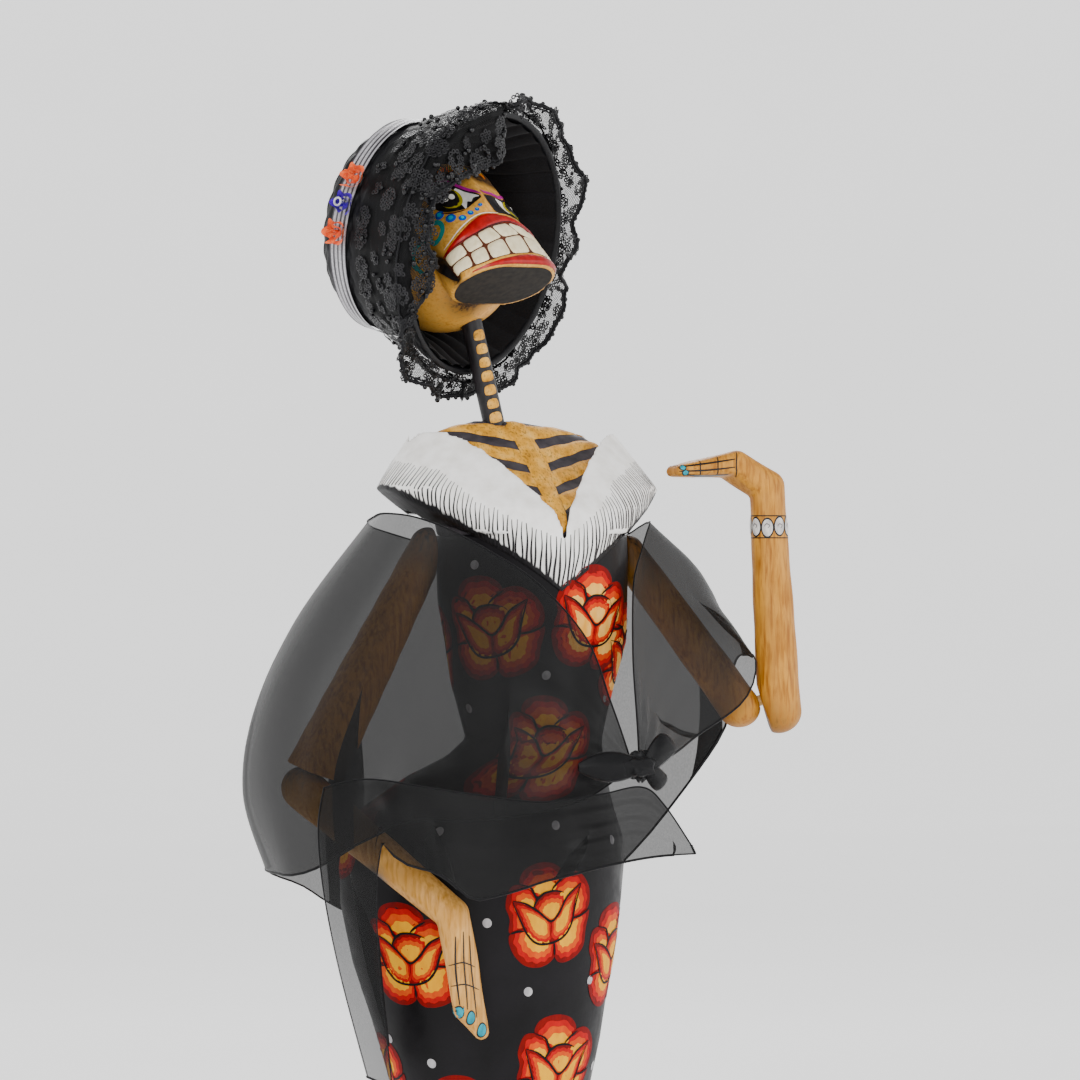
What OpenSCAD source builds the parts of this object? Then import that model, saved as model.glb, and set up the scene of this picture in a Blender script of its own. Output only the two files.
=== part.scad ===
// Catrina figure: a slim standing skeleton lady in a painted dress, with a
// lace-covered straw hat, a V collar and a sheer shawl knotted at one hip.
// Millimetres, +Z up. The front faces -Y and the figure's left side is +X.
// The origin is the centre of the underside of the round base.

/* [Base] */
// Radius of the turned wooden base
base_r = 75; // [70:1:85]
// Thickness of the turned wooden base
base_h = 12; // [10:1:14]
// Radius of the post that runs from the base up into the skirt
post_r = 6; // [4:0.5:8]
// Height of the post's top end above the floor
post_top = 236; // [150:1:240]
// Distance of the base screws from the centre
screw_ring_r = 26; // [20:1:32]

/* [Dress and chest] */
// Wall thickness of the papier-mache dress shell
dress_wall = 5; // [3:0.5:7]
// Radius of the neck rod
neck_r = 4.9; // [4:0.1:6]
// Length of the neck rod
neck_len = 96; // [90:1:100]

/* [Arms] */
// Radius of the dowel in each elbow
elbow_peg_r = 2.5; // [2:0.1:3]
// Radius of the dowel in each shoulder
shoulder_peg_r = 3; // [2:0.1:4]
// Radial gap round a dowel or rod that turns
turning_gap = 0.06; // [0.03:0.01:0.1]

/* [Hat] */
// Radius of the straw brim at the opening
brim_r = 60; // [58:1:62]
// Radius of the lace ruffle round the brim
lace_r = 74; // [70:1:75]
// Thickness of the plaited straw
straw_t = 1.8; // [1.4:0.1:2]

/* [Shawl] */
// Thickness of the cloth stand-in
cloth_t = 1.2; // [1:0.1:1.6]

/* [Hidden] */
$fn = 48;
ring_steps = 48;
play = 0.3;

// Body cross-sections: height, centre x, centre y, half width, half depth
dress_sections = [
    [12, 0, 0, 66, 60],
    [20, 0, 0, 61, 55],
    [34, 0, 0, 51, 45],
    [56, 0, 0, 40, 35],
    [85, 0, 0, 34, 30],
    [118, -2, 0, 38, 32],
    [146, -4, 0, 44, 36],
    [172, -5, 0, 51, 40],
    [207, -8, 0, 60, 46],
    [234, -9, 0, 65, 48],
    [250, -8.5, 0, 66, 49],
    [262, -8, 0, 65, 48],
    [276, -6, -1, 58, 43],
    [290, 2, -3, 46, 36],
    [299, 10, -5, 36, 30],
    [307, 14, -6, 31.5, 26],
    [331, 13.5, -6, 37.5, 28],
    [351, 15, -6, 42, 31],
    [369, 13.5, -6, 44, 34],
    [386, 14, -4, 44, 37],
    [398, 14, -3, 43.5, 39]
];
chest_sections = [
    [398, 14, -3, 43, 39],
    [406, 14, 0, 43.5, 40],
    [414, 13, 3, 44, 34],
    [422, 12.5, 8, 45, 27],
    [430, 12.5, 13, 45.5, 21],
    [438, 12, 17, 44, 15],
    [443, 11, 18.5, 37, 10.5],
    [447, 9, 19.5, 25, 6.5],
    [450, 5, 20, 10, 3]
];
collar_sections = [
    [366, 13.5, -6, 47.5, 37.5],
    [390, 14, -4, 48, 41],
    [402, 13.5, -1, 50, 44],
    [410, 13, 3, 58, 45],
    [419, 12.5, 10, 66.5, 44],
    [430, 12.5, 13, 59, 38],
    [441, 12.5, 15, 51, 30],
    [445, 12.5, 16, 48.5, 27]
];
// The collar's opening seen from above, with its point at the front
neckline = [
    [13, -45.5], [64, 14], [59, 28], [42, 35], [12, 38], [-16, 35], [-33, 28], [-38.5, 14]
];
collar_point = [13, 373];
collar_rise = 0.69;

// Joint and limb centres
neck_foot = [8.4, 18.6, 432];
neck_dir = [-0.2025, 0.0814, 0.976];
head_at = [-14.5, 30, 533];
head_turn = [-27.5, -1, 17];
cranium_at = [0, 7, -6];
cranium_r = 34;
hat_at = [-1.4, 13.6, 530];
hat_turn = [0, 102, -55];

right_shoulder = [-32, 4, 393];
right_elbow = [-93, -14, 294];
right_elbow_dir = [0.334, -0.135, 0.933];
right_wrist = [-43.5, -54, 233];
left_shoulder = [62, 0, 390];
left_elbow = [119.5, -20.5, 323];
left_elbow_dir = [0.88, -0.357, 0.313];
left_forearm_foot = [127.5, -23.5, 318];
left_wrist = [121.5, -23, 420];

// Shawl: upper edge, middle and hem of the wrap, from the knot over the front,
// round the right arm and the back, and over the left arm to the knot again
wrap_top = [
    [35, -68, 299], [27, -65, 324], [18, -59, 352], [-1, -51, 376], [-22, -44, 391],
    [-41, -34, 402], [-54, -20, 407], [-59, -4, 408], [-58, 14, 404], [-47, 33, 401],
    [-26, 46, 396], [0, 50, 391], [33, 46, 391], [59, 38, 394], [73, 29, 398],
    [76, 18, 402], [75, 6, 404], [71, -5, 403], [63, -16, 392], [50, -35, 374],
    [43, -52, 343], [40, -65, 303]
];
wrap_mid = [
    [33, -69, 296], [19, -64, 306], [4, -56, 312], [-18, -45, 322], [-46, -38, 324],
    [-74, -38, 324], [-99, -34, 322], [-111, -4, 322], [-108, 28, 320], [-86, 53, 320],
    [-54, 70, 315], [-16, 67, 310], [28, 54, 310], [67, 40, 322], [96, 32, 338],
    [103, 19, 359], [100, 5, 373], [96, -13, 372], [84, -28, 357], [62, -44, 334],
    [50, -57, 316], [42, -67, 299]
];
wrap_hem = [
    [31, -68, 293], [16, -63, 283], [-5, -61, 277], [-32, -57, 274], [-66, -57, 273],
    [-87, -48, 264], [-103, -35, 252], [-108, -2, 250], [-98, 30, 250], [-82, 55, 241],
    [-56, 67, 229], [-19, 79, 215], [22, 69, 210], [62, 52, 229], [92, 38, 262],
    [117, 16, 307], [116, 3, 337], [114, -20, 344], [105, -33, 324], [81, -43, 310],
    [60, -56, 301], [44, -68, 296]
];
// Shawl ends: the corner beyond the knot, the fold across the skirt, and the
// long end that hangs beside the right hip
tails_top = [
    [55, -88, 263], [45, -82, 280], [36, -78, 288], [19, -73, 285], [-8, -70, 282],
    [-39, -70, 286], [-64, -71, 290], [-83, -65, 293], [-94, -58, 292], [-101, -49, 289]
];
tails_mid = [
    [56, -88, 261], [43, -83, 268], [31, -80, 271], [13, -76, 267], [-12, -73, 262],
    [-41, -75, 260], [-64, -75, 262], [-81, -70, 250], [-92, -60, 247], [-100, -46, 244]
];
tails_hem = [
    [57, -88, 259], [40, -84, 258], [23, -80, 255], [6, -76, 251], [-14, -73, 246],
    [-42, -76, 237], [-60, -75, 230], [-57, -43, 162], [-62, -32, 158], [-67, -10, 159]
];
knot_at = [37, -74, 297];

// Helpers -------------------------------------------------------------

function ellipse_ring(s, grow) = [
    for (i = [0 : ring_steps - 1])
        let (turn = 360 * i / ring_steps)
        [s[1] + (s[3] + grow) * cos(turn), s[2] + (s[4] + grow) * sin(turn), s[0]]
];

// A closed solid through stacked elliptical cross-sections
module loft(sections, grow = 0) {
    levels = len(sections);
    points = [for (s = sections) each ellipse_ring(s, grow)];
    sides = [
        for (level = [0 : levels - 2], i = [0 : ring_steps - 1])
            let (here = level * ring_steps, above = here + ring_steps, next = (i + 1) % ring_steps)
            each [[here + i, above + i, above + next], [here + i, above + next, here + next]]
    ];
    bottom = [for (i = [0 : ring_steps - 1]) i];
    top = [for (i = [ring_steps - 1 : -1 : 0]) (levels - 1) * ring_steps + i];
    polyhedron(points = points, faces = concat(sides, [bottom], [top]));
}

// Places children at a point with their +Z along a direction
module aim(at, direction) {
    length = norm(direction);
    translate(at)
        rotate([0, acos(direction[2] / length), atan2(direction[1], direction[0])])
            children();
}

// A round limb that tapers from one point to another, with rounded ends
module limb(from, to, r_from, r_to) {
    aim(from, to - from)
        cylinder(h = norm(to - from), r1 = r_from, r2 = r_to);
    translate(from) sphere(r = r_from + 0.05);
    translate(to) sphere(r = r_to + 0.05);
}

// Half space used to cut a flat face: everything on the +direction side
module beyond(at, direction) {
    aim(at, direction)
        translate([-60, -60, 0])
            cube([120, 120, 160]);
}

function spline(a, b, c, d, t) =
    0.5 * (2 * b + (c - a) * t + (2 * a - 5 * b + 4 * c - d) * t * t
        + (3 * b - a - 3 * c + d) * t * t * t);

function smooth_row(row, parts) = [
    for (i = [0 : len(row) - 2], k = [0 : parts - 1])
        spline(row[max(i - 1, 0)], row[i], row[i + 1], row[min(i + 2, len(row) - 1)], k / parts),
    row[len(row) - 1]
];

// Five rows of points from an upper edge, a middle and a hem
function cloth_rows(top, mid, hem) = [
    top,
    [for (i = [0 : len(top) - 1]) 0.375 * top[i] + 0.75 * mid[i] - 0.125 * hem[i]],
    mid,
    [for (i = [0 : len(top) - 1]) 0.375 * hem[i] + 0.75 * mid[i] - 0.125 * top[i]],
    hem
];

function unit(v) = v / norm(v);

// A closed thin solid over a grid of points
module cloth(top, mid, hem) {
    parts = 2;
    rows = cloth_rows(smooth_row(top, parts), smooth_row(mid, parts), smooth_row(hem, parts));
    count = len(rows[0]);
    depth = len(rows);
    function along(j, i) = rows[j][min(i + 1, count - 1)] - rows[j][max(i - 1, 0)];
    function down(j, i) = rows[min(j + 1, depth - 1)][i] - rows[max(j - 1, 0)][i];
    outer = [for (j = [0 : depth - 1], i = [0 : count - 1]) rows[j][i]];
    inner = [
        for (j = [0 : depth - 1], i = [0 : count - 1])
            rows[j][i] + cloth_t * unit(cross(along(j, i), down(j, i)))
    ];
    shift = depth * count;
    function at(j, i) = j * count + i;
    skins = [
        for (j = [0 : depth - 2], i = [0 : count - 2])
            let (a = at(j, i), b = at(j, i + 1), c = at(j + 1, i + 1), d = at(j + 1, i))
            each [
                [a, b, c], [a, c, d],
                [shift + a, shift + c, shift + b], [shift + a, shift + d, shift + c]
            ]
    ];
    long_edges = [
        for (i = [0 : count - 2])
            let (a = at(0, i), b = at(0, i + 1), c = at(depth - 1, i), d = at(depth - 1, i + 1))
            each [
                [a, shift + b, b], [a, shift + a, shift + b],
                [c, d, shift + d], [c, shift + d, shift + c]
            ]
    ];
    ends = [
        for (j = [0 : depth - 2])
            let (a = at(j, 0), b = at(j + 1, 0), c = at(j, count - 1), d = at(j + 1, count - 1))
            each [
                [a, b, shift + b], [a, shift + b, shift + a],
                [c, shift + d, d], [c, shift + c, shift + d]
            ]
    ];
    polyhedron(points = concat(outer, inner), faces = concat(skins, long_edges, ends));
}

// Base and inner structure ----------------------------------------------

module base_disc() {
    color("#2b2320")
        difference() {
            rotate_extrude($fn = 96)
                polygon([
                    [0, 0], [base_r - 1, 0], [base_r, 1], [base_r, base_h - 5],
                    [base_r - 2, base_h - 2.5], [base_r - 6, base_h], [0, base_h]
                ]);
            translate([0, 0, 3]) cylinder(h = base_h, r = post_r);
            for (k = [0 : 2])
                rotate(120 * k) translate([screw_ring_r, 0, 0]) {
                    translate([0, 0, -1]) cylinder(h = base_h + 2, r = 1.7);
                    translate([0, 0, -1]) cylinder(h = 4.2, r = 3.6);
                }
        }
}

module base_screws() {
    color("#b9a46a")
        for (k = [0 : 2])
            rotate(120 * k) translate([screw_ring_r, 0, 0])
                difference() {
                    union() {
                        translate([0, 0, 0.8]) cylinder(h = 2.4, r = 3.4);
                        translate([0, 0, 3]) cylinder(h = base_h + 5, r = 1.6);
                    }
                    translate([-2.6, -0.4, 0]) cube([5.2, 0.8, 1.6]);
                }
}

module skirt_plug() {
    color("#c79a62")
        difference() {
            translate([0, 0, base_h]) cylinder(h = 14, r1 = 44, r2 = 37);
            cylinder(h = 60, r = post_r);
            for (k = [0 : 2])
                rotate(120 * k) translate([screw_ring_r, 0, 0])
                    cylinder(h = base_h + 8.05, r = 1.62);
        }
}

module hip_plug() {
    color("#c79a62")
        difference() {
            translate([-8, 0, 222])
                cylinder(h = 16, r = 40);
            cylinder(h = 260, r = post_r);
        }
}

module core_post() {
    color("#d8b47c")
        translate([0, 0, 3]) cylinder(h = post_top - 3, r = post_r);
}

// Dress, chest and collar ------------------------------------------------

module shoulder_bores() {
    aim(right_shoulder + [22, 0, -2], [-1, 0, -0.1]) cylinder(h = 30, r = shoulder_peg_r);
    aim(left_shoulder + [-22, 0, -1], [1, 0, -0.1]) cylinder(h = 30, r = shoulder_peg_r);
}

module dress_body() {
    color("#19181a")
        difference() {
            loft(dress_sections);
            loft(concat([[6, 0, 0, 66, 60]], [for (s = dress_sections) if (s[0] < 380) s]), -dress_wall);
            shoulder_bores();
        }
}

module chest() {
    color("#e2b265")
        difference() {
            loft(chest_sections);
            aim(neck_foot, neck_dir) cylinder(h = 60, r = neck_r);
        }
}

module collar() {
    color("#f1eee8")
        difference() {
            loft(collar_sections);
            loft([for (s = dress_sections) if (s[0] > 350) s], 0.1);
            loft(chest_sections, 0.1);
            translate([0, 0, 396]) linear_extrude(80) polygon(neckline);
            // Slanted lower edges that meet in a point at the front and the back
            for (side = [-1, 1])
                translate([collar_point[0], 0, collar_point[1]])
                    rotate([0, -side * atan(collar_rise), 0])
                        translate([side > 0 ? -20 : -150, -100, -200])
                            cube([170, 200, 200]);
        }
}

module neck_rod() {
    color("#1c1a19")
        aim(neck_foot, neck_dir) cylinder(h = neck_len, r = neck_r);
}

// Head -------------------------------------------------------------------

module skull() {
    color("#dcb679")
        difference() {
            translate(head_at) rotate(head_turn) {
                translate(cranium_at) sphere(r = cranium_r, $fn = 72);
                hull() {
                    for (side = [-1, 1])
                        translate([side * 8, -26, -39.4]) cylinder(h = 3, r = 18, $fn = 32);
                    translate([0, -13, 10]) cylinder(h = 4, r = 17, $fn = 32);
                    for (side = [-1, 1])
                        translate([side * 7, -9, 15]) sphere(r = 16.5, $fn = 32);
                }
            }
            aim(neck_foot, neck_dir)
                translate([0, 0, 50]) cylinder(h = neck_len - 50 + play, r = neck_r + turning_gap);
        }
}

// Arms ---------------------------------------------------------------------

module right_upper_arm() {
    color("#9a6a3a")
        difference() {
            limb(right_shoulder + [-1, 0, 0], right_elbow, 8.6, 13);
            beyond(right_shoulder + [0.8, 0, 0], [1, 0, 0]);
            beyond(right_elbow, -right_elbow_dir);
            aim(right_elbow - right_elbow_dir * 2, right_elbow_dir)
                cylinder(h = 16, r = elbow_peg_r);
            shoulder_bores();
        }
}

module right_forearm() {
    color("#d8a75c")
        difference() {
            union() {
                limb(right_elbow + [-5, 2, -7], right_wrist, 9.5, 7.4);
                hull() {
                    translate(right_wrist) sphere(r = 7.4, $fn = 32);
                    translate([-42.5, -55, 214]) sphere(r = 5, $fn = 24);
                    translate([-36, -52, 212]) sphere(r = 5, $fn = 24);
                }
                hull() {
                    translate([-42.5, -55, 214]) sphere(r = 5, $fn = 24);
                    translate([-36, -52, 212]) sphere(r = 5, $fn = 24);
                    translate([-40, -56.5, 191]) sphere(r = 3.6, $fn = 24);
                    translate([-29.5, -52.5, 181]) sphere(r = 3.4, $fn = 24);
                }
            }
            beyond(right_elbow - right_elbow_dir * play, right_elbow_dir);
            aim(right_elbow - right_elbow_dir * 12, right_elbow_dir)
                cylinder(h = 16, r = elbow_peg_r + turning_gap);
        }
}

module right_shoulder_peg() {
    color("#d8b47c")
        intersection() {
            shoulder_bores();
            translate([-60, -20, 380]) cube([60, 60, 40]);
        }
}

module right_elbow_peg() {
    color("#d8b47c")
        aim(right_elbow - right_elbow_dir * 11, right_elbow_dir)
            cylinder(h = 24.8, r = elbow_peg_r);
}

module left_upper_arm() {
    color("#9a6a3a")
        difference() {
            limb(left_shoulder, left_elbow - [9, -3.5, 3], 8.3, 9.6);
            beyond(left_shoulder - [2.6, 0, 0], [-1, 0, 0]);
            beyond(left_elbow, left_elbow_dir);
            aim(left_elbow - left_elbow_dir * 11, left_elbow_dir)
                cylinder(h = 16, r = elbow_peg_r);
            shoulder_bores();
        }
}

module left_forearm() {
    color("#e0ae62")
        difference() {
            union() {
                limb(left_forearm_foot, left_wrist, 10.2, 8);
                hull() {
                    translate(left_wrist) sphere(r = 8, $fn = 32);
                    translate([106, -24, 431]) sphere(r = 5.6, $fn = 24);
                    translate([104, -15, 430]) sphere(r = 5.6, $fn = 24);
                }
                hull() {
                    translate([106, -24, 431]) sphere(r = 5.6, $fn = 24);
                    translate([104, -15, 430]) sphere(r = 5.6, $fn = 24);
                    translate([79, -24, 427.5]) sphere(r = 2.6, $fn = 24);
                    translate([78, -14, 427]) sphere(r = 2.6, $fn = 24);
                }
            }
            beyond(left_elbow + left_elbow_dir * play, -left_elbow_dir);
            aim(left_elbow - left_elbow_dir * 2, left_elbow_dir)
                cylinder(h = 14, r = elbow_peg_r + turning_gap);
        }
}

module left_shoulder_peg() {
    color("#d8b47c")
        intersection() {
            shoulder_bores();
            translate([30, -20, 380]) cube([60, 60, 40]);
        }
}

module left_elbow_peg() {
    color("#d8b47c")
        aim(left_elbow - left_elbow_dir * 10.8, left_elbow_dir)
            cylinder(h = 22, r = elbow_peg_r);
}

// Hat ------------------------------------------------------------------------

// Outline of the hat: distance from the axis, distance behind the rim
hat_outline = [
    [brim_r, 0], [57, 8], [53, 16], [50.5, 24], [49, 32], [48, 42], [46.5, 51], [43, 58], [37, 62], [0, 64]
];

module on_hat() {
    translate(hat_at) rotate(hat_turn) children();
}

module hat_shell(inset, thick) {
    outer = [for (p = hat_outline) [max(p[0] - inset, 0), -p[1] + (p[1] > 55 ? inset : 0)]];
    last = len(outer) - 1;
    inner = [
        for (i = [last : -1 : 0])
            [max(outer[i][0] - thick, 0), outer[i][1] + (hat_outline[i][1] > 55 ? thick : 0)]
    ];
    rotate_extrude($fn = 72) polygon(concat(outer, inner));
}

module straw_hat() {
    color("#1b1b1d") on_hat() hat_shell(0, straw_t);
}

module hat_lining() {
    color("#0f0f11") on_hat() hat_shell(straw_t + 0.1, 0.8);
}

module hat_lace() {
    color("#232226")
        on_hat()
            rotate_extrude($fn = 72)
                polygon([[brim_r + 0.2, -3.4], [lace_r, -2.2], [lace_r, -0.8], [brim_r + 0.2, -1.4]]);
}

// The lace that lies over the outside of the brim
module lace_cover() {
    color("#232226")
        on_hat()
            rotate_extrude($fn = 72)
                polygon([
                    [57.8, -7], [53.3, -16], [50.8, -24], [49.3, -32], [48.8, -37],
                    [50.4, -37], [51.8, -32], [53.6, -24], [56.4, -16], [60, -7]
                ]);
}

module hat_band() {
    color("#4a494d")
        on_hat()
            rotate_extrude($fn = 72)
                polygon([[48.2, -42], [49.6, -42], [48.2, -52], [46.6, -52]]);
}

// A ribbon rosette: three stacked rings of cloth
module rosette(r) {
    rotate_extrude($fn = 32)
        polygon([[0, 0], [r, 0], [r, r * 0.3], [r * 0.7, r * 0.7], [r * 0.3, r * 0.9], [0, r]]);
}

module on_band(turn, behind) {
    on_hat()
        rotate(turn) translate([50.2, 0, -behind]) rotate([0, 90, 0]) children();
}

module coral_roses() {
    color("#ff8f68") {
        on_band(-113, 45) rosette(6.2);
        on_band(-84, 47) rosette(6.2);
    }
}

module purple_rose() {
    color("#4b1d8f") on_band(-98.5, 46) rosette(5.4);
}

// Shawl ------------------------------------------------------------------------

module shawl_wrap() {
    color("#3a393c") cloth(wrap_top, wrap_mid, wrap_hem);
}

module shawl_tails() {
    color("#454447") cloth(tails_top, tails_mid, tails_hem);
}

module shawl_knot() {
    color("#2c2b2e")
        translate(knot_at) scale(1) sphere(r = 8, $fn = 36);
}

base_disc();
base_screws();
skirt_plug();
hip_plug();
core_post();
dress_body();
chest();
collar();
neck_rod();
skull();
right_upper_arm();
right_forearm();
right_shoulder_peg();
right_elbow_peg();
left_upper_arm();
left_forearm();
left_shoulder_peg();
left_elbow_peg();
straw_hat();
hat_lining();
hat_lace();
lace_cover();
hat_band();
coral_roses();
purple_rose();
shawl_wrap();
shawl_tails();
shawl_knot();
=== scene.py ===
import math
import bpy
import numpy as np
from mathutils import Euler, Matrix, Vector
from mathutils.bvhtree import BVHTree
from mathutils.geometry import delaunay_2d_cdt


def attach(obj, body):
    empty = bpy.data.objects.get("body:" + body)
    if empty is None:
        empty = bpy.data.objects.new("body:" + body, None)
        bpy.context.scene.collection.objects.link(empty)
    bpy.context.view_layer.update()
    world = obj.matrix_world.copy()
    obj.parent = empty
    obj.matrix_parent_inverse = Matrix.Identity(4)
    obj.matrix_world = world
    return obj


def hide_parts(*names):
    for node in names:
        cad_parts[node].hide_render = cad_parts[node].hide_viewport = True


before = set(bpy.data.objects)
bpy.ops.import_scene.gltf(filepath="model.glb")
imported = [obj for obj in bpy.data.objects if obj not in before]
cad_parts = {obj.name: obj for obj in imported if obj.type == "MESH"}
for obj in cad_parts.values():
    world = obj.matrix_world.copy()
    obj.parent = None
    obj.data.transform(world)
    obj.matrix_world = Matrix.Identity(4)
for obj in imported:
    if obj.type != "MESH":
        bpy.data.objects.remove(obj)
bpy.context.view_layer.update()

# All the shapes below are worked out in millimetres and written to Blender in metres.
MM = 0.001
random = np.random.default_rng(11)


# Vectors, lines and surfaces -------------------------------------------------

def array(values):
    return np.asarray(values, float)


def full_turn(count):
    """Evenly spaced angles once round, in radians."""
    return np.linspace(0, 2 * math.pi, count, endpoint=False)


def unit(v):
    v = array(v)
    return v / np.maximum(np.linalg.norm(v, axis=-1, keepdims=True), 1e-9)


def step(low, high, x):
    """0 below low, 1 above high and smooth between."""
    t = np.clip((array(x) - low) / (high - low), 0, 1)
    return t * t * (3 - 2 * t)


def smooth_line(points, parts, closed=False):
    """A Catmull-Rom curve through the points."""
    p = array(points)
    count = len(p)
    t = np.linspace(0, 1, parts, endpoint=False)[:, None]
    spans = []
    for i in range(count if closed else count - 1):
        if closed:
            a, b, c, d = (p[(i + k) % count] for k in (-1, 0, 1, 2))
        else:
            a, b, c, d = p[max(i - 1, 0)], p[i], p[i + 1], p[min(i + 2, count - 1)]
        spans.append(0.5 * (2 * b + (c - a) * t + (2 * a - 5 * b + 4 * c - d) * t ** 2
                            + (3 * b - a - 3 * c + d) * t ** 3))
    line = np.vstack(spans)
    return line if closed else np.vstack([line, p[-1]])


def spaced(line, gap):
    """The line again, with points a fixed distance apart."""
    line = array(line)
    run = np.concatenate([[0], np.cumsum(np.linalg.norm(np.diff(line, axis=0), axis=1))])
    places = np.linspace(0, run[-1], max(int(round(run[-1] / gap)), 2) + 1)
    return np.stack([np.interp(places, run, line[:, k]) for k in range(line.shape[1])], 1)


def grid(points, wrap=False):
    """Faces over a grid of points; wrap joins the last column to the first."""
    rows, cols = points.shape[:2]
    j, i = np.meshgrid(np.arange(rows - 1), np.arange(cols if wrap else cols - 1), indexing="ij")
    k = (i + 1) % cols
    faces = np.stack([j * cols + i, j * cols + k, (j + 1) * cols + k, (j + 1) * cols + i], -1)
    return points.reshape(-1, 3), faces.reshape(-1, 4).tolist()


def tube(path, radius, sides=8, closed=False, flat=1.0):
    """A round or flattened cord along a path."""
    p = array(path)
    count = len(p)
    ahead = np.roll(p, -1, 0) - np.roll(p, 1, 0) if closed else np.gradient(p, axis=0)
    along = unit(ahead)
    side = np.zeros_like(p)
    side[0] = unit(np.cross(along[0], [0.31, 0.17, 0.93]))
    for i in range(1, count):
        side[i] = unit(side[i - 1] - along[i] * (side[i - 1] @ along[i]))
    across = np.cross(along, side)
    size = np.broadcast_to(array(radius), (count,))[:, None, None]
    turn = full_turn(sides)[None, :, None]
    rings = p[:, None] + size * (np.cos(turn) * side[:, None] + flat * np.sin(turn) * across[:, None])
    if closed:
        rings = np.concatenate([rings, rings[:1]])
    points, faces = grid(rings, wrap=True)
    if not closed:
        faces.append(list(range(sides))[::-1])
        faces.append(list(range((count - 1) * sides, count * sides)))
    return points, faces


def in_outline(points, outline):
    """Which 2-D points lie inside a closed outline."""
    x, y = points[:, 0:1], points[:, 1:2]
    ax, ay = outline[:, 0], outline[:, 1]
    bx, by = np.roll(ax, -1), np.roll(ay, -1)
    crosses = (ay > y) != (by > y)
    rise = np.where(np.abs(by - ay) < 1e-12, 1e-12, by - ay)
    return (crosses & (x < (bx - ax) * (y - ay) / rise + ax)).sum(1) % 2 == 1


def edge_distance(points, outline):
    """Distance of 2-D points from a closed outline."""
    a, b = outline[None], np.roll(outline, -1, 0)[None]
    along = b - a
    share = ((points[:, None] - a) * along).sum(-1) / np.maximum((along ** 2).sum(-1), 1e-12)
    near = a + np.clip(share, 0, 1)[..., None] * along
    return np.linalg.norm(points[:, None] - near, axis=-1).min(1)


def patch(outline, place, lift=0.12, bulge=0.0, rim=1.2, spacing=1.6):
    """A patch of paint or inlay: a 2-D outline filled with triangles and laid on a surface.

    place turns 2-D points into surface points and normals. The patch stands lift above the
    surface, and bulge more in its middle, with a rounded rim."""
    outline = array(outline)
    low, high = outline.min(0), outline.max(0)
    xs = np.arange(low[0] + spacing / 2, high[0], spacing)
    ys = np.arange(low[1] + spacing / 2, high[1], spacing)
    filling = np.stack(np.meshgrid(xs, ys), -1).reshape(-1, 2)
    if len(filling):
        filling = filling[in_outline(filling, outline)]
    if len(filling):
        filling = filling[edge_distance(filling, outline) > 0.4 * spacing]
    flat = np.vstack([outline, filling])
    found = delaunay_2d_cdt([Vector(p) for p in flat], [], [list(range(len(outline)))], 1, 1e-6)
    flat = array([tuple(p) for p in found[0]])
    surface, normal = place(flat)
    height = np.full(len(flat), lift)
    if bulge:
        inner = np.clip(edge_distance(flat, outline) / rim, 0, 1)
        height = lift + bulge * np.sqrt(1 - (1 - inner) ** 2)
    return surface + normal * height[:, None], [list(f) for f in found[2]]


def brush(line, width, place, lift=0.2, taper=0.0, gap=1.2):
    """A brush line of some width, thinner towards its ends where taper is over 0."""
    line = spaced(line, gap)
    ahead = unit(np.gradient(line, axis=0))
    side = np.stack([-ahead[:, 1], ahead[:, 0]], 1)
    share = np.linspace(0, 1, len(line))
    half = width / 2 * (1 - taper * (2 * np.abs(share - 0.5)) ** 3)
    left, right = line + side * half[:, None], line - side * half[:, None]
    rows = [place(row) for row in (left, line, right)]
    points = np.stack([s + n * lift for s, n in rows])
    return grid(points)


class Build:
    """The shapes of one piece, gathered in millimetres."""

    def __init__(self):
        self.points, self.faces, self.finish, self.tint, self.cloth = [], [], [], [], []
        self.count = 0

    def add(self, shape, finish=0, tint=0.0, cloth=None):
        """Adds points and faces, with a finish number, a tint and cloth coordinates."""
        points, faces = shape
        points = array(points).reshape(-1, 3)
        self.points.append(points)
        self.faces += [[k + self.count for k in face] for face in faces]
        self.finish += [finish] * len(faces)
        self.tint.append(np.broadcast_to(array(tint), (len(points),)))
        self.cloth.append(np.zeros((len(points), 2)) if cloth is None else array(cloth).reshape(-1, 2))
        self.count += len(points)
        return self

    def piece(self, name, finishes, body, slot, *replaced):
        """Makes the Blender object, hangs it under its body's empty and hides the CAD nodes it replaces; the
        slot is not used.
        """
        mesh = bpy.data.meshes.new(name)
        mesh.from_pydata((np.vstack(self.points) * MM).tolist(), [], self.faces)
        for finish in finishes:
            mesh.materials.append(finish)
        mesh.polygons.foreach_set("material_index", self.finish)
        mesh.polygons.foreach_set("use_smooth", [True] * len(self.faces))
        tint = mesh.attributes.new("Tint", "FLOAT", "POINT")
        tint.data.foreach_set("value", np.concatenate(self.tint).astype(np.float32))
        corner = np.zeros(len(mesh.loops), np.int32)
        mesh.loops.foreach_get("vertex_index", corner)
        layer = mesh.uv_layers.new(name="Cloth")
        layer.data.foreach_set("uv", np.vstack(self.cloth)[corner].astype(np.float32).ravel())
        mesh.update()
        made = bpy.data.objects.new(name, mesh)
        bpy.context.scene.collection.objects.link(made)
        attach(made, body)
        if replaced:
            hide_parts(*replaced)
        return made

    def hull(self):
        """A lookup of this build's surface for laying paint on it."""
        return BVHTree.FromPolygons(np.vstack(self.points).tolist(), self.faces)


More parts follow.
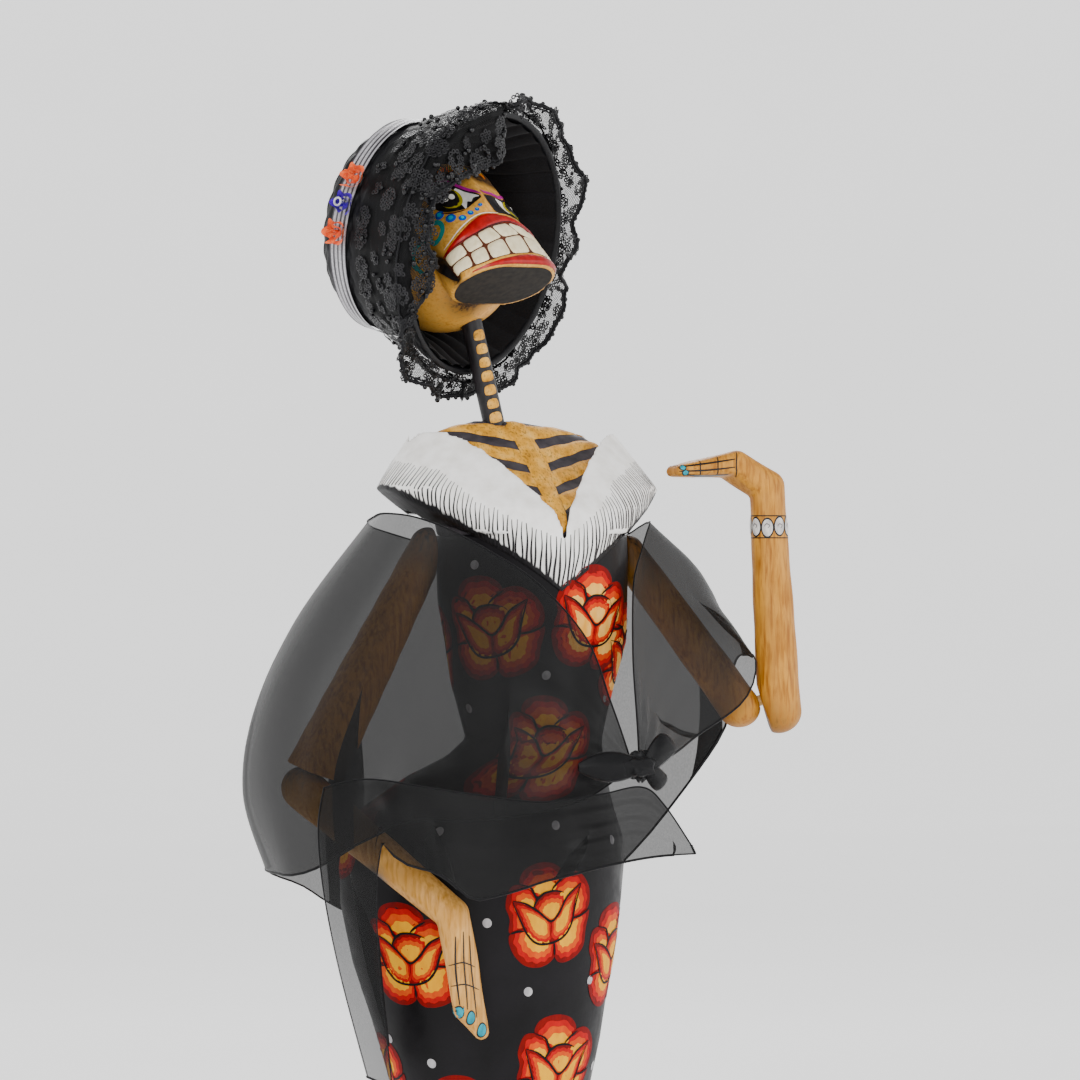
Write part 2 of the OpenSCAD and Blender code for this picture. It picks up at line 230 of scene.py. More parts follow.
def carved(node, voxel, rounds):
    """A CAD node's shape as an even, softened mesh: points and normals in millimetres, and faces."""
    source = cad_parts[node]
    copy = bpy.data.objects.new(node + "_blank", source.data.copy())
    bpy.context.scene.collection.objects.link(copy)
    remesh = copy.modifiers.new("even", "REMESH")
    remesh.mode = "VOXEL"
    remesh.voxel_size = voxel * MM
    soften = copy.modifiers.new("soften", "SMOOTH")
    soften.factor = 0.5
    soften.iterations = rounds
    shaped = copy.evaluated_get(bpy.context.evaluated_depsgraph_get()).to_mesh()
    points = np.zeros(len(shaped.vertices) * 3)
    normals = np.zeros(len(shaped.vertices) * 3)
    shaped.vertices.foreach_get("co", points)
    shaped.vertices.foreach_get("normal", normals)
    faces = [list(f.vertices) for f in shaped.polygons]
    bpy.data.objects.remove(copy)
    return points.reshape(-1, 3) / MM, normals.reshape(-1, 3), faces


def onto(surface, start, ahead):
    """Surface points and normals where rays from start meet a surface."""
    points, normals = [], []
    for a, d in zip(start, np.broadcast_to(ahead, start.shape)):
        hit, normal, _, _ = surface.ray_cast(Vector(a), Vector(d))
        if hit is None:
            hit, normal, _, _ = surface.find_nearest(Vector(a + d * 40))
        if normal.dot(Vector(d)) > 0:
            normal = -normal
        points.append(hit)
        normals.append(normal)
    return array(points), array(normals)


# Finishes --------------------------------------------------------------------

DEPTH_OF_COLOUR = 1.15


def colour(text):
    """A linear colour from six hex digits, mixed deeper because the studio light pales it."""
    parts = array([int(text[k:k + 2], 16) / 255 for k in (0, 2, 4)])
    parts = np.where(parts <= 0.04045, parts / 12.92, ((parts + 0.055) / 1.055) ** 2.4)
    grey = parts.mean()
    deep = np.clip(grey + (parts - grey) * DEPTH_OF_COLOUR, 0, 1)
    return tuple(float(c) for c in deep) + (1.0,)


class Finish:
    """A procedural material on the principled shader; sizes are in millimetres."""

    def __init__(self, name, base, rough=0.5, **sockets):
        self.material = bpy.data.materials.new(name)
        self.material.use_nodes = True
        tree = self.material.node_tree
        self.nodes, self.links = tree.nodes, tree.links
        self.shader = tree.nodes["Principled BSDF"]
        self.shader.inputs["Base Color"].default_value = colour(base)
        self.shader.inputs["Roughness"].default_value = rough
        for socket, value in sockets.items():
            title = socket.replace("_", " ").title().replace("Ior", "IOR")
            self.shader.inputs[title].default_value = value

    def node(self, kind, **settings):
        made = self.nodes.new(kind)
        for key, value in settings.items():
            setattr(made, key, value)
        return made

    def place(self, stretch=(1, 1, 1), source="Object"):
        mapping = self.node("ShaderNodeMapping")
        mapping.inputs["Scale"].default_value = stretch
        self.links.new(self.node("ShaderNodeTexCoord").outputs[source], mapping.inputs["Vector"])
        return mapping.outputs["Vector"]

    def noise(self, size, stretch=(1, 1, 1), detail=4.0, distortion=0.0):
        made = self.node("ShaderNodeTexNoise")
        made.inputs["Scale"].default_value = 1000 / size
        made.inputs["Detail"].default_value = detail
        made.inputs["Distortion"].default_value = distortion
        self.links.new(self.place(stretch), made.inputs["Vector"])
        return made.outputs["Fac"]

    def tint(self):
        return self.node("ShaderNodeAttribute", attribute_name="Tint").outputs["Fac"]

    def ramp(self, value, *stops):
        made = self.node("ShaderNodeValToRGB")
        while len(made.color_ramp.elements) < len(stops):
            made.color_ramp.elements.new(0.5)
        for element, (place, shade) in zip(made.color_ramp.elements, stops):
            element.position = place
            element.color = colour(shade) if isinstance(shade, str) else (shade, shade, shade, 1)
        self.links.new(value, made.inputs["Fac"])
        return made.outputs["Color"]

    def sum(self, operation, a, b):
        made = self.node("ShaderNodeMath", operation=operation)
        for socket, value in zip(made.inputs, (a, b)):
            if isinstance(value, (int, float)):
                socket.default_value = value
            else:
                self.links.new(value, socket)
        return made.outputs["Value"]

    def mix(self, share, a, b):
        made = self.node("ShaderNodeMix", data_type="RGBA")
        for socket, value in ((made.inputs["Factor"], share), (made.inputs[6], a), (made.inputs[7], b)):
            if isinstance(value, str):
                socket.default_value = colour(value)
            elif isinstance(value, (int, float)):
                socket.default_value = value
            else:
                self.links.new(value, socket)
        return made.outputs[2]

    def paint(self, output, socket="Base Color"):
        self.links.new(output, self.shader.inputs[socket])
        return self

    def bump(self, height, strength, depth=0.3):
        made = self.node("ShaderNodeBump")
        made.inputs["Strength"].default_value = strength
        made.inputs["Distance"].default_value = depth * MM
        self.links.new(height, made.inputs["Height"])
        normal = self.shader.inputs["Normal"]
        if normal.links:
            self.links.new(normal.links[0].from_socket, made.inputs["Normal"])
        self.links.new(made.outputs["Normal"], normal)
        return self

    def done(self):
        return self.material


def brushed_paint(name, dark, light, rough=0.42, size=5.0, stretch=(1, 1, 0.35), bump=0.25, shine=0.3):
    """Acrylic paint with visible brush variation over slightly uneven paper or wood."""
    finish = Finish(name, light, rough, specular_ior_level=shine)
    strokes = finish.noise(size, stretch, detail=6)
    finish.paint(finish.ramp(strokes, (0.3, dark), (0.66, light)))
    finish.bump(finish.noise(size * 2.2), bump, 0.5)
    finish.bump(finish.noise(0.8, detail=2), bump * 0.5, 0.08)
    return finish.done()


def black_dress_paint():
    finish = Finish("dress_black_paint", "0b0a0c", 0.42, specular_ior_level=0.16)
    cloud = finish.noise(18, detail=5)
    finish.paint(finish.ramp(cloud, (0.3, "070607"), (0.7, "121013")))
    finish.paint(finish.ramp(finish.noise(9), (0.3, 0.34), (0.7, 0.52)), "Roughness")
    finish.bump(finish.noise(14, detail=3), 0.35, 1.0)
    finish.bump(finish.noise(0.7, (1, 1, 0.25)), 0.25, 0.06)
    return finish.done()


def collar_paint():
    finish = Finish("collar_white_paint", "f3efe9", 0.5, specular_ior_level=0.3)
    white = finish.ramp(finish.noise(7, detail=6), (0.3, "e9e6e1"), (0.62, "fbf9f6"))
    streaks = finish.noise(3.2, (1, 1, 0.12), detail=5)
    # The tint turns the white to black: the painted fade of the lower edge, the darker back, and painted
    # shade under the roll.
    edge = finish.sum("ADD", finish.tint(), finish.sum("MULTIPLY", finish.sum("SUBTRACT", streaks, 0.5), 0.7))
    finish.paint(finish.mix(finish.ramp(edge, (0.42, 0.0), (0.6, 1.0)), white, "0b0a0c"))
    finish.bump(finish.noise(11, detail=3), 0.35, 0.7)
    finish.bump(finish.noise(0.9, (1, 1, 0.3)), 0.3, 0.08)
    return finish.done()


def bone_gold():
    finish = Finish("bone_gold_paint", "dca654", 0.55, specular_ior_level=0.3)
    cloud = finish.noise(5, (1, 0.4, 1), detail=7)
    body = finish.ramp(cloud, (0.28, "a8742e"), (0.5, "d39d4c"), (0.72, "e2b46a"))
    dry = finish.ramp(finish.noise(0.9, (1, 0.35, 0.7), detail=5), (0.52, 0.0), (0.68, 1.0))
    shade = finish.sum("MULTIPLY", dry, finish.tint())
    finish.paint(finish.mix(shade, body, "4a3216"))
    finish.bump(finish.noise(1.1, (1, 0.4, 1)), 0.3, 0.1)
    return finish.done()


def chest_grey():
    finish = Finish("chest_grey_paint", "4b484b", 0.6, specular_ior_level=0.2)
    cloud = finish.noise(6, detail=7)
    finish.paint(finish.ramp(cloud, (0.3, "29262a"), (0.7, "474347")))
    finish.bump(finish.noise(1.0), 0.3, 0.1)
    return finish.done()


def carved_wood(name, light, mid, dark, grain=(1, 1, 0.12)):
    """Golden stained wood with grain, worn lights and dark brown painted shade by the tint."""
    finish = Finish(name, light, 0.5, specular_ior_level=0.32)
    veins = finish.noise(1.6, grain, detail=8, distortion=0.4)
    patches = finish.noise(14, detail=5)
    body = finish.ramp(veins, (0.3, mid), (0.58, light))
    body = finish.mix(finish.ramp(patches, (0.42, 0.0), (0.75, 0.55)), body, mid)
    # The tint is mostly painted shade; the grain breaks up its edge.
    soft = finish.sum("ADD", finish.tint(), finish.sum("MULTIPLY", finish.sum("SUBTRACT", veins, 0.5), 0.9))
    shade = finish.ramp(soft, (0.25, 0.0), (0.95, 1.0))
    finish.paint(finish.mix(shade, body, dark))
    finish.paint(finish.ramp(patches, (0.3, 0.42), (0.7, 0.58)), "Roughness")
    finish.bump(veins, 0.25, 0.12)
    finish.bump(finish.noise(6, detail=3), 0.35, 0.5)
    return finish.done()


def raw_wood(name, light, dark, stretch, rough=0.6):
    finish = Finish(name, light, rough)
    veins = finish.noise(3, stretch, detail=8, distortion=1.2)
    finish.paint(finish.ramp(veins, (0.35, dark), (0.6, light)))
    finish.bump(veins, 0.3, 0.15)
    return finish.done()


def turned_base_paint():
    finish = Finish("base_dark_wood", "241c18", 0.42)
    rings = finish.noise(4, (1, 1, 0.2), detail=8, distortion=0.8)
    finish.paint(finish.ramp(rings, (0.3, "15110f"), (0.7, "33271f")))
    finish.bump(rings, 0.25, 0.15)
    return finish.done()


def brass():
    finish = Finish("screw_brass", "b99a55", 0.3, metallic=1.0)
    finish.paint(finish.ramp(finish.noise(1.2, detail=5), (0.3, "8d7440"), (0.7, "cdb06a")))
    finish.bump(finish.noise(0.4), 0.15, 0.05)
    return finish.done()


def straw_finish():
    finish = Finish("black_straw", "0c0c0e", 0.5, specular_ior_level=0.22)
    fibre = finish.noise(0.7, (1, 1, 1), detail=6, distortion=1.5)
    finish.paint(finish.ramp(fibre, (0.35, "050506"), (0.7, "18181b")))
    finish.bump(fibre, 0.5, 0.2)
    return finish.done()


def cloth_finish(name, base, light, rough=0.75, thread=0.5):
    finish = Finish(name, base, rough, sheen_weight=0.06, sheen_roughness=0.4, specular_ior_level=0.15)
    weave = finish.noise(thread, detail=3)
    finish.paint(finish.ramp(weave, (0.35, base), (0.7, light)))
    finish.bump(weave, 0.35, 0.12)
    return finish.done()


def net_finish(name, thread_colour, pitch, thread, rough=0.6):
    """Tulle: two crossing sets of threads over open holes, along the cloth's own coordinates."""
    finish = Finish(name, thread_colour, rough, specular_ior_level=0.15)
    split = finish.node("ShaderNodeSeparateXYZ")
    finish.links.new(finish.place(source="UV"), split.inputs["Vector"])
    marks = []
    for slope in (1.0, -1.0):
        run = finish.sum("ADD", split.outputs["X"], finish.sum("MULTIPLY", split.outputs["Y"], slope))
        wave = finish.sum("PINGPONG", run, pitch / 2)
        marks.append(finish.sum("LESS_THAN", wave, thread / 2))
    finish.paint(finish.sum("MAXIMUM", *marks), "Alpha")
    return finish.done()


def organza(name, base, light, see_through, fleck=0.6):
    """Sheer crisp cloth: an even share of light passes, with a fine thread variation."""
    finish = Finish(name, base, 0.5, sheen_weight=0.1, sheen_roughness=0.3, specular_ior_level=0.2)
    threads = finish.noise(fleck, (1, 1, 0.6), detail=2)
    finish.paint(finish.ramp(threads, (0.3, base), (0.75, light)))
    thick, thin = 1 - see_through * 1.12, 1 - see_through * 0.88
    finish.paint(finish.ramp(threads, (0.25, thick), (0.75, thin)), "Alpha")
    finish.bump(threads, 0.2, 0.05)
    return finish.done()


def gloss(name, base, light, rough=0.18, size=2.5):
    finish = Finish(name, base, rough, specular_ior_level=0.35)
    finish.paint(finish.ramp(finish.noise(size, detail=3), (0.3, base), (0.7, light)))
    finish.bump(finish.noise(size * 0.8), 0.1, 0.05)
    return finish.done()


# Camera, light and floor -----------------------------------------------------

VIEW_AZIMUTH = math.radians(-22)
VIEW_DISTANCE = 2.025
VIEW_HEIGHT = 0.396
VIEW_ASIDE = 0.018
FLOOR_GLOW = 1.15
# Name, place in metres, size and power of each light
LIGHTS = [("key", (-1.2, -1.7, 1.6), 1.0, 30), ("fill", (1.6, -1.4, 1.0), 1.2, 13),
          ("back", (0.6, 1.6, 1.5), 1.0, 20)]
LIGHT_AIM = Vector((0, 0, 0.35))


def make_camera():
    ahead = Vector((-math.sin(VIEW_AZIMUTH), math.cos(VIEW_AZIMUTH), 0))
    right = Vector((math.cos(VIEW_AZIMUTH), math.sin(VIEW_AZIMUTH), 0))
    data = bpy.data.cameras.new("camera")
    data.lens = 150
    data.sensor_width = 36
    camera = bpy.data.objects.new("camera", data)
    camera.location = right * VIEW_ASIDE - ahead * VIEW_DISTANCE + Vector((0, 0, VIEW_HEIGHT))
    camera.rotation_euler = ahead.to_track_quat("-Z", "Y").to_euler()
    bpy.context.scene.collection.objects.link(camera)
    bpy.context.scene.camera = camera


def make_lights():
    world = bpy.data.worlds.new("studio")
    world.use_nodes = True
    world.node_tree.nodes["Background"].inputs["Color"].default_value = (1, 1, 1, 1)
    world.node_tree.nodes["Background"].inputs["Strength"].default_value = 0.5
    bpy.context.scene.world = world
    for name, place, size, power in LIGHTS:
        data = bpy.data.lights.new(name, "AREA")
        data.size = size
        data.energy = power
        light = bpy.data.objects.new(name, data)
        light.location = place
        light.rotation_euler = (LIGHT_AIM - Vector(place)).to_track_quat("-Z", "Y").to_euler()
        bpy.context.scene.collection.objects.link(light)


def make_floor():
    """A wide round floor that curves up into a backdrop all the way round."""
    reach, bend, rise = 6.0, 1.5, 4.0
    profile = [(0.01, 0), (1.5, 0), (reach - bend, 0)]
    for k in range(1, 9):
        turn = math.pi / 2 * k / 8
        profile.append((reach - bend + bend * math.sin(turn), bend - bend * math.cos(turn)))
    profile.append((reach, rise))
    turn = full_turn(96)
    rings = array([[(r * math.cos(t), r * math.sin(t), z - 0.0001) for t in turn] for r, z in profile])
    verts, faces = grid(rings, wrap=True)
    mesh = bpy.data.meshes.new("floor")
    mesh.from_pydata(verts.tolist(), [], faces)
    finish = Finish("pale_floor", "a8a8a8", 0.9, specular_ior_level=0.0)
    finish.paint(finish.ramp(finish.noise(300), (0.3, "a4a4a4"), (0.7, "ababab")))
    finish.shader.inputs["Emission Color"].default_value = (1, 1, 1, 1)
    finish.shader.inputs["Emission Strength"].default_value = FLOOR_GLOW
    mesh.materials.append(finish.done())
    mesh.polygons.foreach_set("use_smooth", [True] * len(faces))
    floor = bpy.data.objects.new("floor", mesh)
    bpy.context.scene.collection.objects.link(floor)


# Base and inner structure ----------------------------------------------------

def finish_hidden_parts():
    """CAD parts whose shape is right get their own wood or metal."""
    across = raw_wood("pine_across", "cfa468", "a87a42", (1, 0.15, 1))
    upright = raw_wood("dowel_beech", "d9b47c", "b98f58", (1, 1, 0.08))
    for node in ("skirt_plug", "hip_plug"):
        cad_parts[node].data.materials[0] = across
    for node in ("core_post", "right_shoulder_peg", "left_shoulder_peg", "right_elbow_peg", "left_elbow_peg"):
        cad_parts[node].data.materials[0] = upright
    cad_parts["base_disc"].data.materials[0] = turned_base_paint()
    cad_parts["base_screws"].data.materials[0] = brass()


# Dress -----------------------------------------------------------------------

# Height, centre x, centre y, half width, half depth
DRESS = array([
    [12, 0, 0, 66, 60], [20, 0, 0, 61, 55], [34, 0, 0, 51, 45], [56, 0, 0, 40, 35], [85, 0, 0, 34, 30],
    [118, -2, 0, 38, 32], [146, -4, 0, 44, 36], [172, -5, 0, 51, 40], [207, -8, 0, 60, 46],
    [234, -9, 0, 65, 48], [250, -8.5, 0, 66, 49], [262, -8, 0, 65, 48], [276, -6, -1, 58, 43],
    [290, 2, -3, 46, 36], [299, 10, -5, 36, 30], [307, 14, -6, 31.5, 26], [331, 13.5, -6, 37.5, 28],
    [351, 15, -6, 42, 31], [369, 13.5, -6, 44, 34], [386, 14, -4, 44, 37], [398, 14, -3, 43.5, 39]
])


def dress_point(turn, height, grow=0.0):
    """A point of the dress surface at an angle in degrees and a height."""
    turn, height = np.broadcast_arrays(np.radians(array(turn)), array(height))
    x, y, a, b = (np.interp(height, DRESS[:, 0], DRESS[:, k]) for k in (1, 2, 3, 4))
    return np.stack([x + (a + grow) * np.cos(turn), y + (b + grow) * np.sin(turn), height], -1)


# Paint spots of the folk pattern: turn in degrees, height, turn of the flower, petal palette
ROSES = [
    (-133, 357, 4, 0), (-64, 361, -8, 1), (-93, 303, -6, 0), (-76, 231, 5, 0), (-138, 213, -5, 0),
    (-28, 211, 8, 0), (-66, 162, -4, 0), (-15, 345, 6, 1), (150, 350, -5, 0), (75, 352, 5, 1),
    (110, 290, -8, 0), (30, 300, 5, 0), (60, 228, -5, 0), (130, 222, 6, 0), (170, 268, -6, 0),
    (-118, 137, 6, 0), (15, 155, -6, 0), (95, 165, 4, 0), (165, 158, 5, 0), (-25, 112, 5, 0),
    (-80, 93, -6, 0), (50, 100, 6, 0), (140, 110, -5, 0), (-150, 85, 5, 0)
]
DOTS = [
    (-145, 385), (-165, 321), (-98, 336), (-126, 268), (-75, 270), (-104, 228), (-87, 197), (-51, 200),
    (-40, 262), (0, 250), (100, 320), (55, 330), (130, 255), (95, 200), (25, 195), (170, 195), (-168, 175),
    (-30, 160), (60, 140), (120, 135), (-5, 85), (-140, 165), (10, 330), (110, 380), (30, 380), (-40, 325)
]


def petal(*points):
    return smooth_line(points, 6, closed=True)


# One flower in flower radii: petals from the back to the front, each with its bright heart
PETALS = [
    (petal((-.72, .72), (-.62, .98), (-.28, 1.1), (.08, 1.03), (.27, .8), (.06, .56), (-.1, .4), (-.36, .42),
           (-.48, .6)), (-.12, .5)),
    (petal((-.73, .7), (-.93, .64), (-1.03, .3), (-.97, .02), (-1.0, -.28), (-.66, -.28), (-.7, .05),
           (-.4, .2), (-.38, .36), (-.48, .58)), (-.58, .18)),
    (petal((-.02, .52), (.12, .72), (.5, .84), (.8, .7), (1.0, .4), (1.0, .08), (.82, -.1), (.5, -.16),
           (.5, .15), (.3, .36)), (.5, .22)),
    (petal((-1.0, -.3), (-1.01, -.62), (-.8, -.93), (-.5, -1.05), (-.2, -1.02), (0, -.86), (-.02, -.54),
           (-.3, -.5), (-.6, -.2)), (-.42, -.5)),
    (petal((-.01, -.56), (-.01, -.86), (.16, -1.03), (.52, -.98), (.82, -.78), (.9, -.42), (1.0, -.04),
           (.72, -.1), (.48, -.14), (.3, -.4)), (.42, -.45)),
    (petal((-.44, .18), (-.34, .36), (-.12, .47), (.18, .45), (.34, .35), (.24, .05), (-.04, -.16),
           (-.28, 0)), (-.03, .05)),
    (petal((-.88, .36), (-.77, .06), (-.72, -.14), (-.6, -.38), (-.38, -.57), (-.06, -.57), (-.06, -.14),
           (-.34, .1), (-.62, .28)), (-.42, -.2)),
    (petal((.74, .55), (.62, .3), (.55, 0), (.47, -.24), (.28, -.47), (-.07, -.57), (-.06, -.14),
           (.16, .02), (.38, .34)), (.3, -.16)),
]
SHRINK = (1.0, 0.85, 0.7, 0.52)
OUTLINES = [
    ((-.72, .7), (-.48, .6), (-.37, .38), (-.2, .46), (.05, .48), (.28, .42)),
    ((-.02, .5), (.1, .62), (.3, .76)),
    ((-.88, .38), (-.62, .3), (-.34, .1), (-.06, -.14), (.16, .03), (.38, .34), (.74, .56)),
    ((-.88, .36), (-.74, -.06), (-.6, -.38), (-.38, -.57), (-.02, -.58), (.28, -.47), (.48, -.22), (.56, .05),
     (.74, .55)),
    ((-1.0, -.29), (-.84, -.26), (-.68, -.27)), ((-.01, -.58), (0, -.72), (-.01, -.86)),
    ((.5, -.15), (.74, -.12), (.99, -.02)), ((-.44, .18), (-.36, .34), (-.2, .45)),
]
ROSE_R = 21.5
DOT_R = 2.1
# Thickness of the shell here; the CAD's is 5
DRESS_WALL = 4.6


def rose_finishes():
    rows = [("rose_red", "5e0100", "7a0300"), ("rose_flame", "981400", "b42000"),
            ("rose_orange", "bc4600", "cc5a00"), ("rose_yellow", "d69400", "e4a800"),
            ("rose_black", "060506", "100e10"), ("rose_blush", "c23c10", "d0531c"),
            ("rose_cream", "e0a050", "ecba70"), ("dot_grey", "8f8d90", "b5b3b4")]
    return [brushed_paint(*row, rough=0.55, size=3.0, bump=0.15, shine=0.12) for row in rows]


def paint_dress(dress, collar):
    """The flame roses and grey dots, laid on the dress and the collar's faded edge."""
    surface = Build()
    for build in (dress, collar):
        surface.add((np.vstack(build.points), build.faces))
    surface = surface.hull()
    paint = Build()

    def near(turn, height):
        across = np.linalg.norm(dress_point(turn + 1, height) - dress_point(turn, height))

        def place(flat):
            around = turn + flat[:, 0] / across
            start = dress_point(around, height + flat[:, 1], 14)
            ahead = unit(dress_point(around, height + flat[:, 1]) - start)
            return onto(surface, start, ahead)
        return place

    for turn, height, lean, palette in ROSES:
        place = near(turn, height)
        c, s = math.cos(math.radians(lean)), math.sin(math.radians(lean))
        tilt = array([[c, s], [-s, c]]) * ROSE_R
        shades = (0, 1, 5, 6) if palette else (0, 1, 2, 3)
        for order, (outline, heart) in enumerate(PETALS):
            heart = array(heart) + 0.3 * (array([0, -0.15]) - heart)
            for band, share in enumerate(SHRINK):
                wave = np.sin(np.arange(len(outline)) * (0.9 + 0.13 * order) + order)
                ragged = 1 + (0.035 if band else 0) * wave[:, None]
                shape = heart + (outline - heart) * share * ragged
                lift = 0.1 + 0.03 * order + 0.035 * band
                paint.add(patch(shape @ tilt, place, lift, spacing=3.2), shades[band])
        for line in OUTLINES:
            paint.add(brush(smooth_line(line, 5) @ tilt, 1.0, place, 0.5, taper=0.75), 4)
    for turn, height in DOTS:
        angle = np.linspace(0, 6.28, 20, False)
        round_dot = DOT_R * np.stack([np.cos(angle), np.sin(angle)], 1)
        paint.add(patch(round_dot, near(turn, height), 0.15, bulge=0.12), 7)
    return paint


def build_dress():
    build = Build()
    heights = np.concatenate([np.arange(12, 398, 2.0), [398]])
    turns = np.arange(0, 360, 2.5)
    grid_points = dress_point(turns[None], heights[:, None])
    angle = np.radians(turns)
    wobble = 0.22 * np.sin(grid_points[..., 2] / 9.0 + angle * 3) * np.sin(angle * 5 + 1)
    outward = unit(grid_points - dress_point(0, heights)[:, None] * [0, 0, 1] - [5, 0, 0])
    outward[..., 2] = 0
    points = grid_points + outward * wobble[..., None]
    inner = dress_point(turns[None], heights[::-1][:, None], -DRESS_WALL)
    build.add(grid(np.concatenate([points, inner, points[:1]]), wrap=True))
    return build


# Collar and chest ------------------------------------------------------------

COLLAR_POINT = (13, 373)
COLLAR_RISE = 0.69


def collar_edge(points):
    """Height above the collar's slanted lower edge."""
    return points[:, 2] - COLLAR_POINT[1] - COLLAR_RISE * np.abs(points[:, 0] - COLLAR_POINT[0])


def build_collar():
    points, normals, faces = carved("collar", 0.95, 12)
    above = collar_edge(points)
    x, y, a, b = (np.interp(points[:, 2], DRESS[:, 0], DRESS[:, k]) for k in (1, 2, 3, 4))
    out = np.hypot((points[:, 0] - x) / a, (points[:, 1] - y) / b)
    thin = 0.25 + 0.75 * step(0, 13, above)
    body = points[:, 2] < 399
    factor = np.where(body & (out > 1), (1.004 + (out - 1.004) * thin) / np.maximum(out, 1e-6), 1)
    points[:, 0] = x + (points[:, 0] - x) * factor
    points[:, 1] = y + (points[:, 1] - y) * factor
    # Painted shade: where the collar's roll faces downwards, above 398 mm, it is darkened towards black.
    under = step(-0.25, -0.75, normals[:, 2])
    fade = 1 - step(-1.5, 6.5, above)
    behind = step(4, 12, points[:, 1]) * (1 - step(405, 408, points[:, 2]))
    tint = np.maximum(np.maximum(fade, behind), under * step(398, 404, points[:, 2]))
    return Build().add((points, faces), tint=tint)


# Turn round the collar and height of its neckline
NECKLINE = array([
    (-262, 437), (-200, 438), (-174, 435), (-160, 433), (-150, 429), (-136, 421), (-115, 412), (-100, 405),
    (-91, 402), (-80, 409), (-60, 421), (-47, 428), (-13, 437), (30, 438), (98, 437)])


def pleat_lines(collar):
    """Thin black brush lines that run down the collar from under its smooth white band."""
    surface = collar.hull()
    lines = Build()
    middle = array([13, 2])

    def place(flat):
        turn, height = np.radians(flat[:, 0]), flat[:, 1]
        start = np.stack([middle[0] + 95 * np.cos(turn), middle[1] + 80 * np.sin(turn), height], 1)
        ahead = np.stack([middle[0] - start[:, 0], middle[1] - start[:, 1], -4 + 0 * height], 1)
        return onto(surface, start, unit(ahead))

    for turn in np.arange(-262, 98, 2.3):
        lean = random.normal(0, 0.25)
        x = 13 + 47 * math.cos(math.radians(turn))
        top = np.interp(turn, NECKLINE[:, 0], NECKLINE[:, 1]) - 3.5 - abs(random.normal(0, 0.8))
        bottom = COLLAR_POINT[1] + COLLAR_RISE * abs(x - 13) + 0.5 + abs(random.normal(0, 1.0))
        if top - bottom < 6:
            continue
        share = np.linspace(0, 1, 12)
        turns = turn + lean * share * 2 + 0.25 * np.sin(share * 7 + turn)
        line = np.stack([turns, top + (bottom - top) * share], 1)
        width_in_degrees = 0.95 + random.uniform(-0.15, 0.25)
        rows = []
        for side in (-0.5, 0, 0.5):
            swell = (0.3 + 0.7 * step(-0.1, 0.7, share)) * width_in_degrees
            rows.append(place(line + np.stack([side * swell, 0 * share], 1)))
        lines.add(grid(np.stack([p + n * 0.13 for p, n in rows])))
    return lines


CHEST_TOP = array([12.5, 19.5, 447.0])
CHEST_DOWN = unit([0, -65.5, -43.0])
CHEST_OUT = unit(np.cross([1, 0, 0], -CHEST_DOWN))
STERNUM = [(-4.6, 2), (-3.4, 16), (-3.0, 32), (-3.6, 55), (-2.8, 74), (0.2, 79), (3.4, 74), (4.6, 55),
           (7.6, 32), (6.4, 16), (5.4, 2)]
RIB_GAPS = (1, 19.5, 37.5, 56, 74)


def build_chest():
    points, _, faces = carved("chest", 1.0, 6)
    return Build().add((points, faces))


def paint_chest(chest):
    """Ribs and breastbone in relief over the dark grey chest."""
    surface = chest.hull()
    bones = Build()

    def place(flat):
        start = CHEST_TOP + flat[:, :1] * [1, 0, 0] + flat[:, 1:] * CHEST_DOWN + 42 * CHEST_OUT
        return onto(surface, start, -CHEST_OUT)

    def bend(across, order):
        return np.abs(across) * (0.1 + 0.16 * order) + 0.0045 * across ** 2

    for side, root, tip in ((-1, 2.6, 46), (1, 4.4, 46)):
        for order in range(len(RIB_GAPS) - 1):
            across = np.linspace(root, tip, 18)
            wobble = 0.35 * np.sin(across * 0.5 + order * 2 + side)
            upper = RIB_GAPS[order] + 3.4 - bend(across, order) + wobble
            lower = RIB_GAPS[order + 1] - 3.3 - bend(across, order + 1) * 0.97 + wobble
            keep = lower - upper > 0.8
            if keep.sum() < 4:
                continue
            across, upper, lower = across[keep], upper[keep], lower[keep]
            top, low = np.stack([side * across, upper], 1), np.stack([side * across, lower], 1)
            outline = np.vstack([top, low[::-1]])
            shape = patch(outline, place, 0.15, bulge=0.55, rim=2.2, spacing=1.7)
            bones.add(shape, tint=0.55)
    breastbone = smooth_line(STERNUM, 4, closed=True)
    bones.add(patch(breastbone, place, 0.35, bulge=0.7, rim=2.6, spacing=1.7), tint=0.7)
    return bones


VERTEBRA = [(-2.9, -1.5), (-2.4, 1.5), (0, 2.3), (2.5, 1.7), (3.0, -1.2), (1.4, -2.2), (-1.6, -2.3)]
VERTEBRA_COUNT = 8


def build_neck_bones():
    """Gold vertebra spots down the front of the black neck."""
    neck_foot, neck_dir, neck_r = array([8.4, 18.6, 432]), unit([-0.2025, 0.0814, 0.976]), 4.95
    viewer = unit([-0.37461, -0.92718, 0])
    front = unit(viewer - neck_dir * (viewer @ neck_dir))
    aside = np.cross(neck_dir, front)
    bones = Build()
    for k in range(VERTEBRA_COUNT):
        up = 13.5 + 6.35 * k
        turn = 0.3 + 0.035 * k

        def place(flat):
            angle = turn + flat[:, :1] / neck_r
            out = np.cos(angle) * front + np.sin(angle) * aside
            return neck_foot + (up + flat[:, 1:]) * neck_dir + out * neck_r, out

        spot = smooth_line(VERTEBRA, 4, closed=True) * (1 + 0.04 * math.sin(k * 2.1))
        bones.add(patch(spot, place, 0.12, bulge=0.3, rim=1.2, spacing=0.9), tint=0.55)
    return bones


# Skull -----------------------------------------------------------------------

HEAD_AT = array([-14.5, 30, 533])
HEAD_AXES = array(Euler([math.radians(a) for a in (-27.5, -1, 17)]).to_matrix())
FACE_SCALE = 0.44
FACE_CENTRE = 10


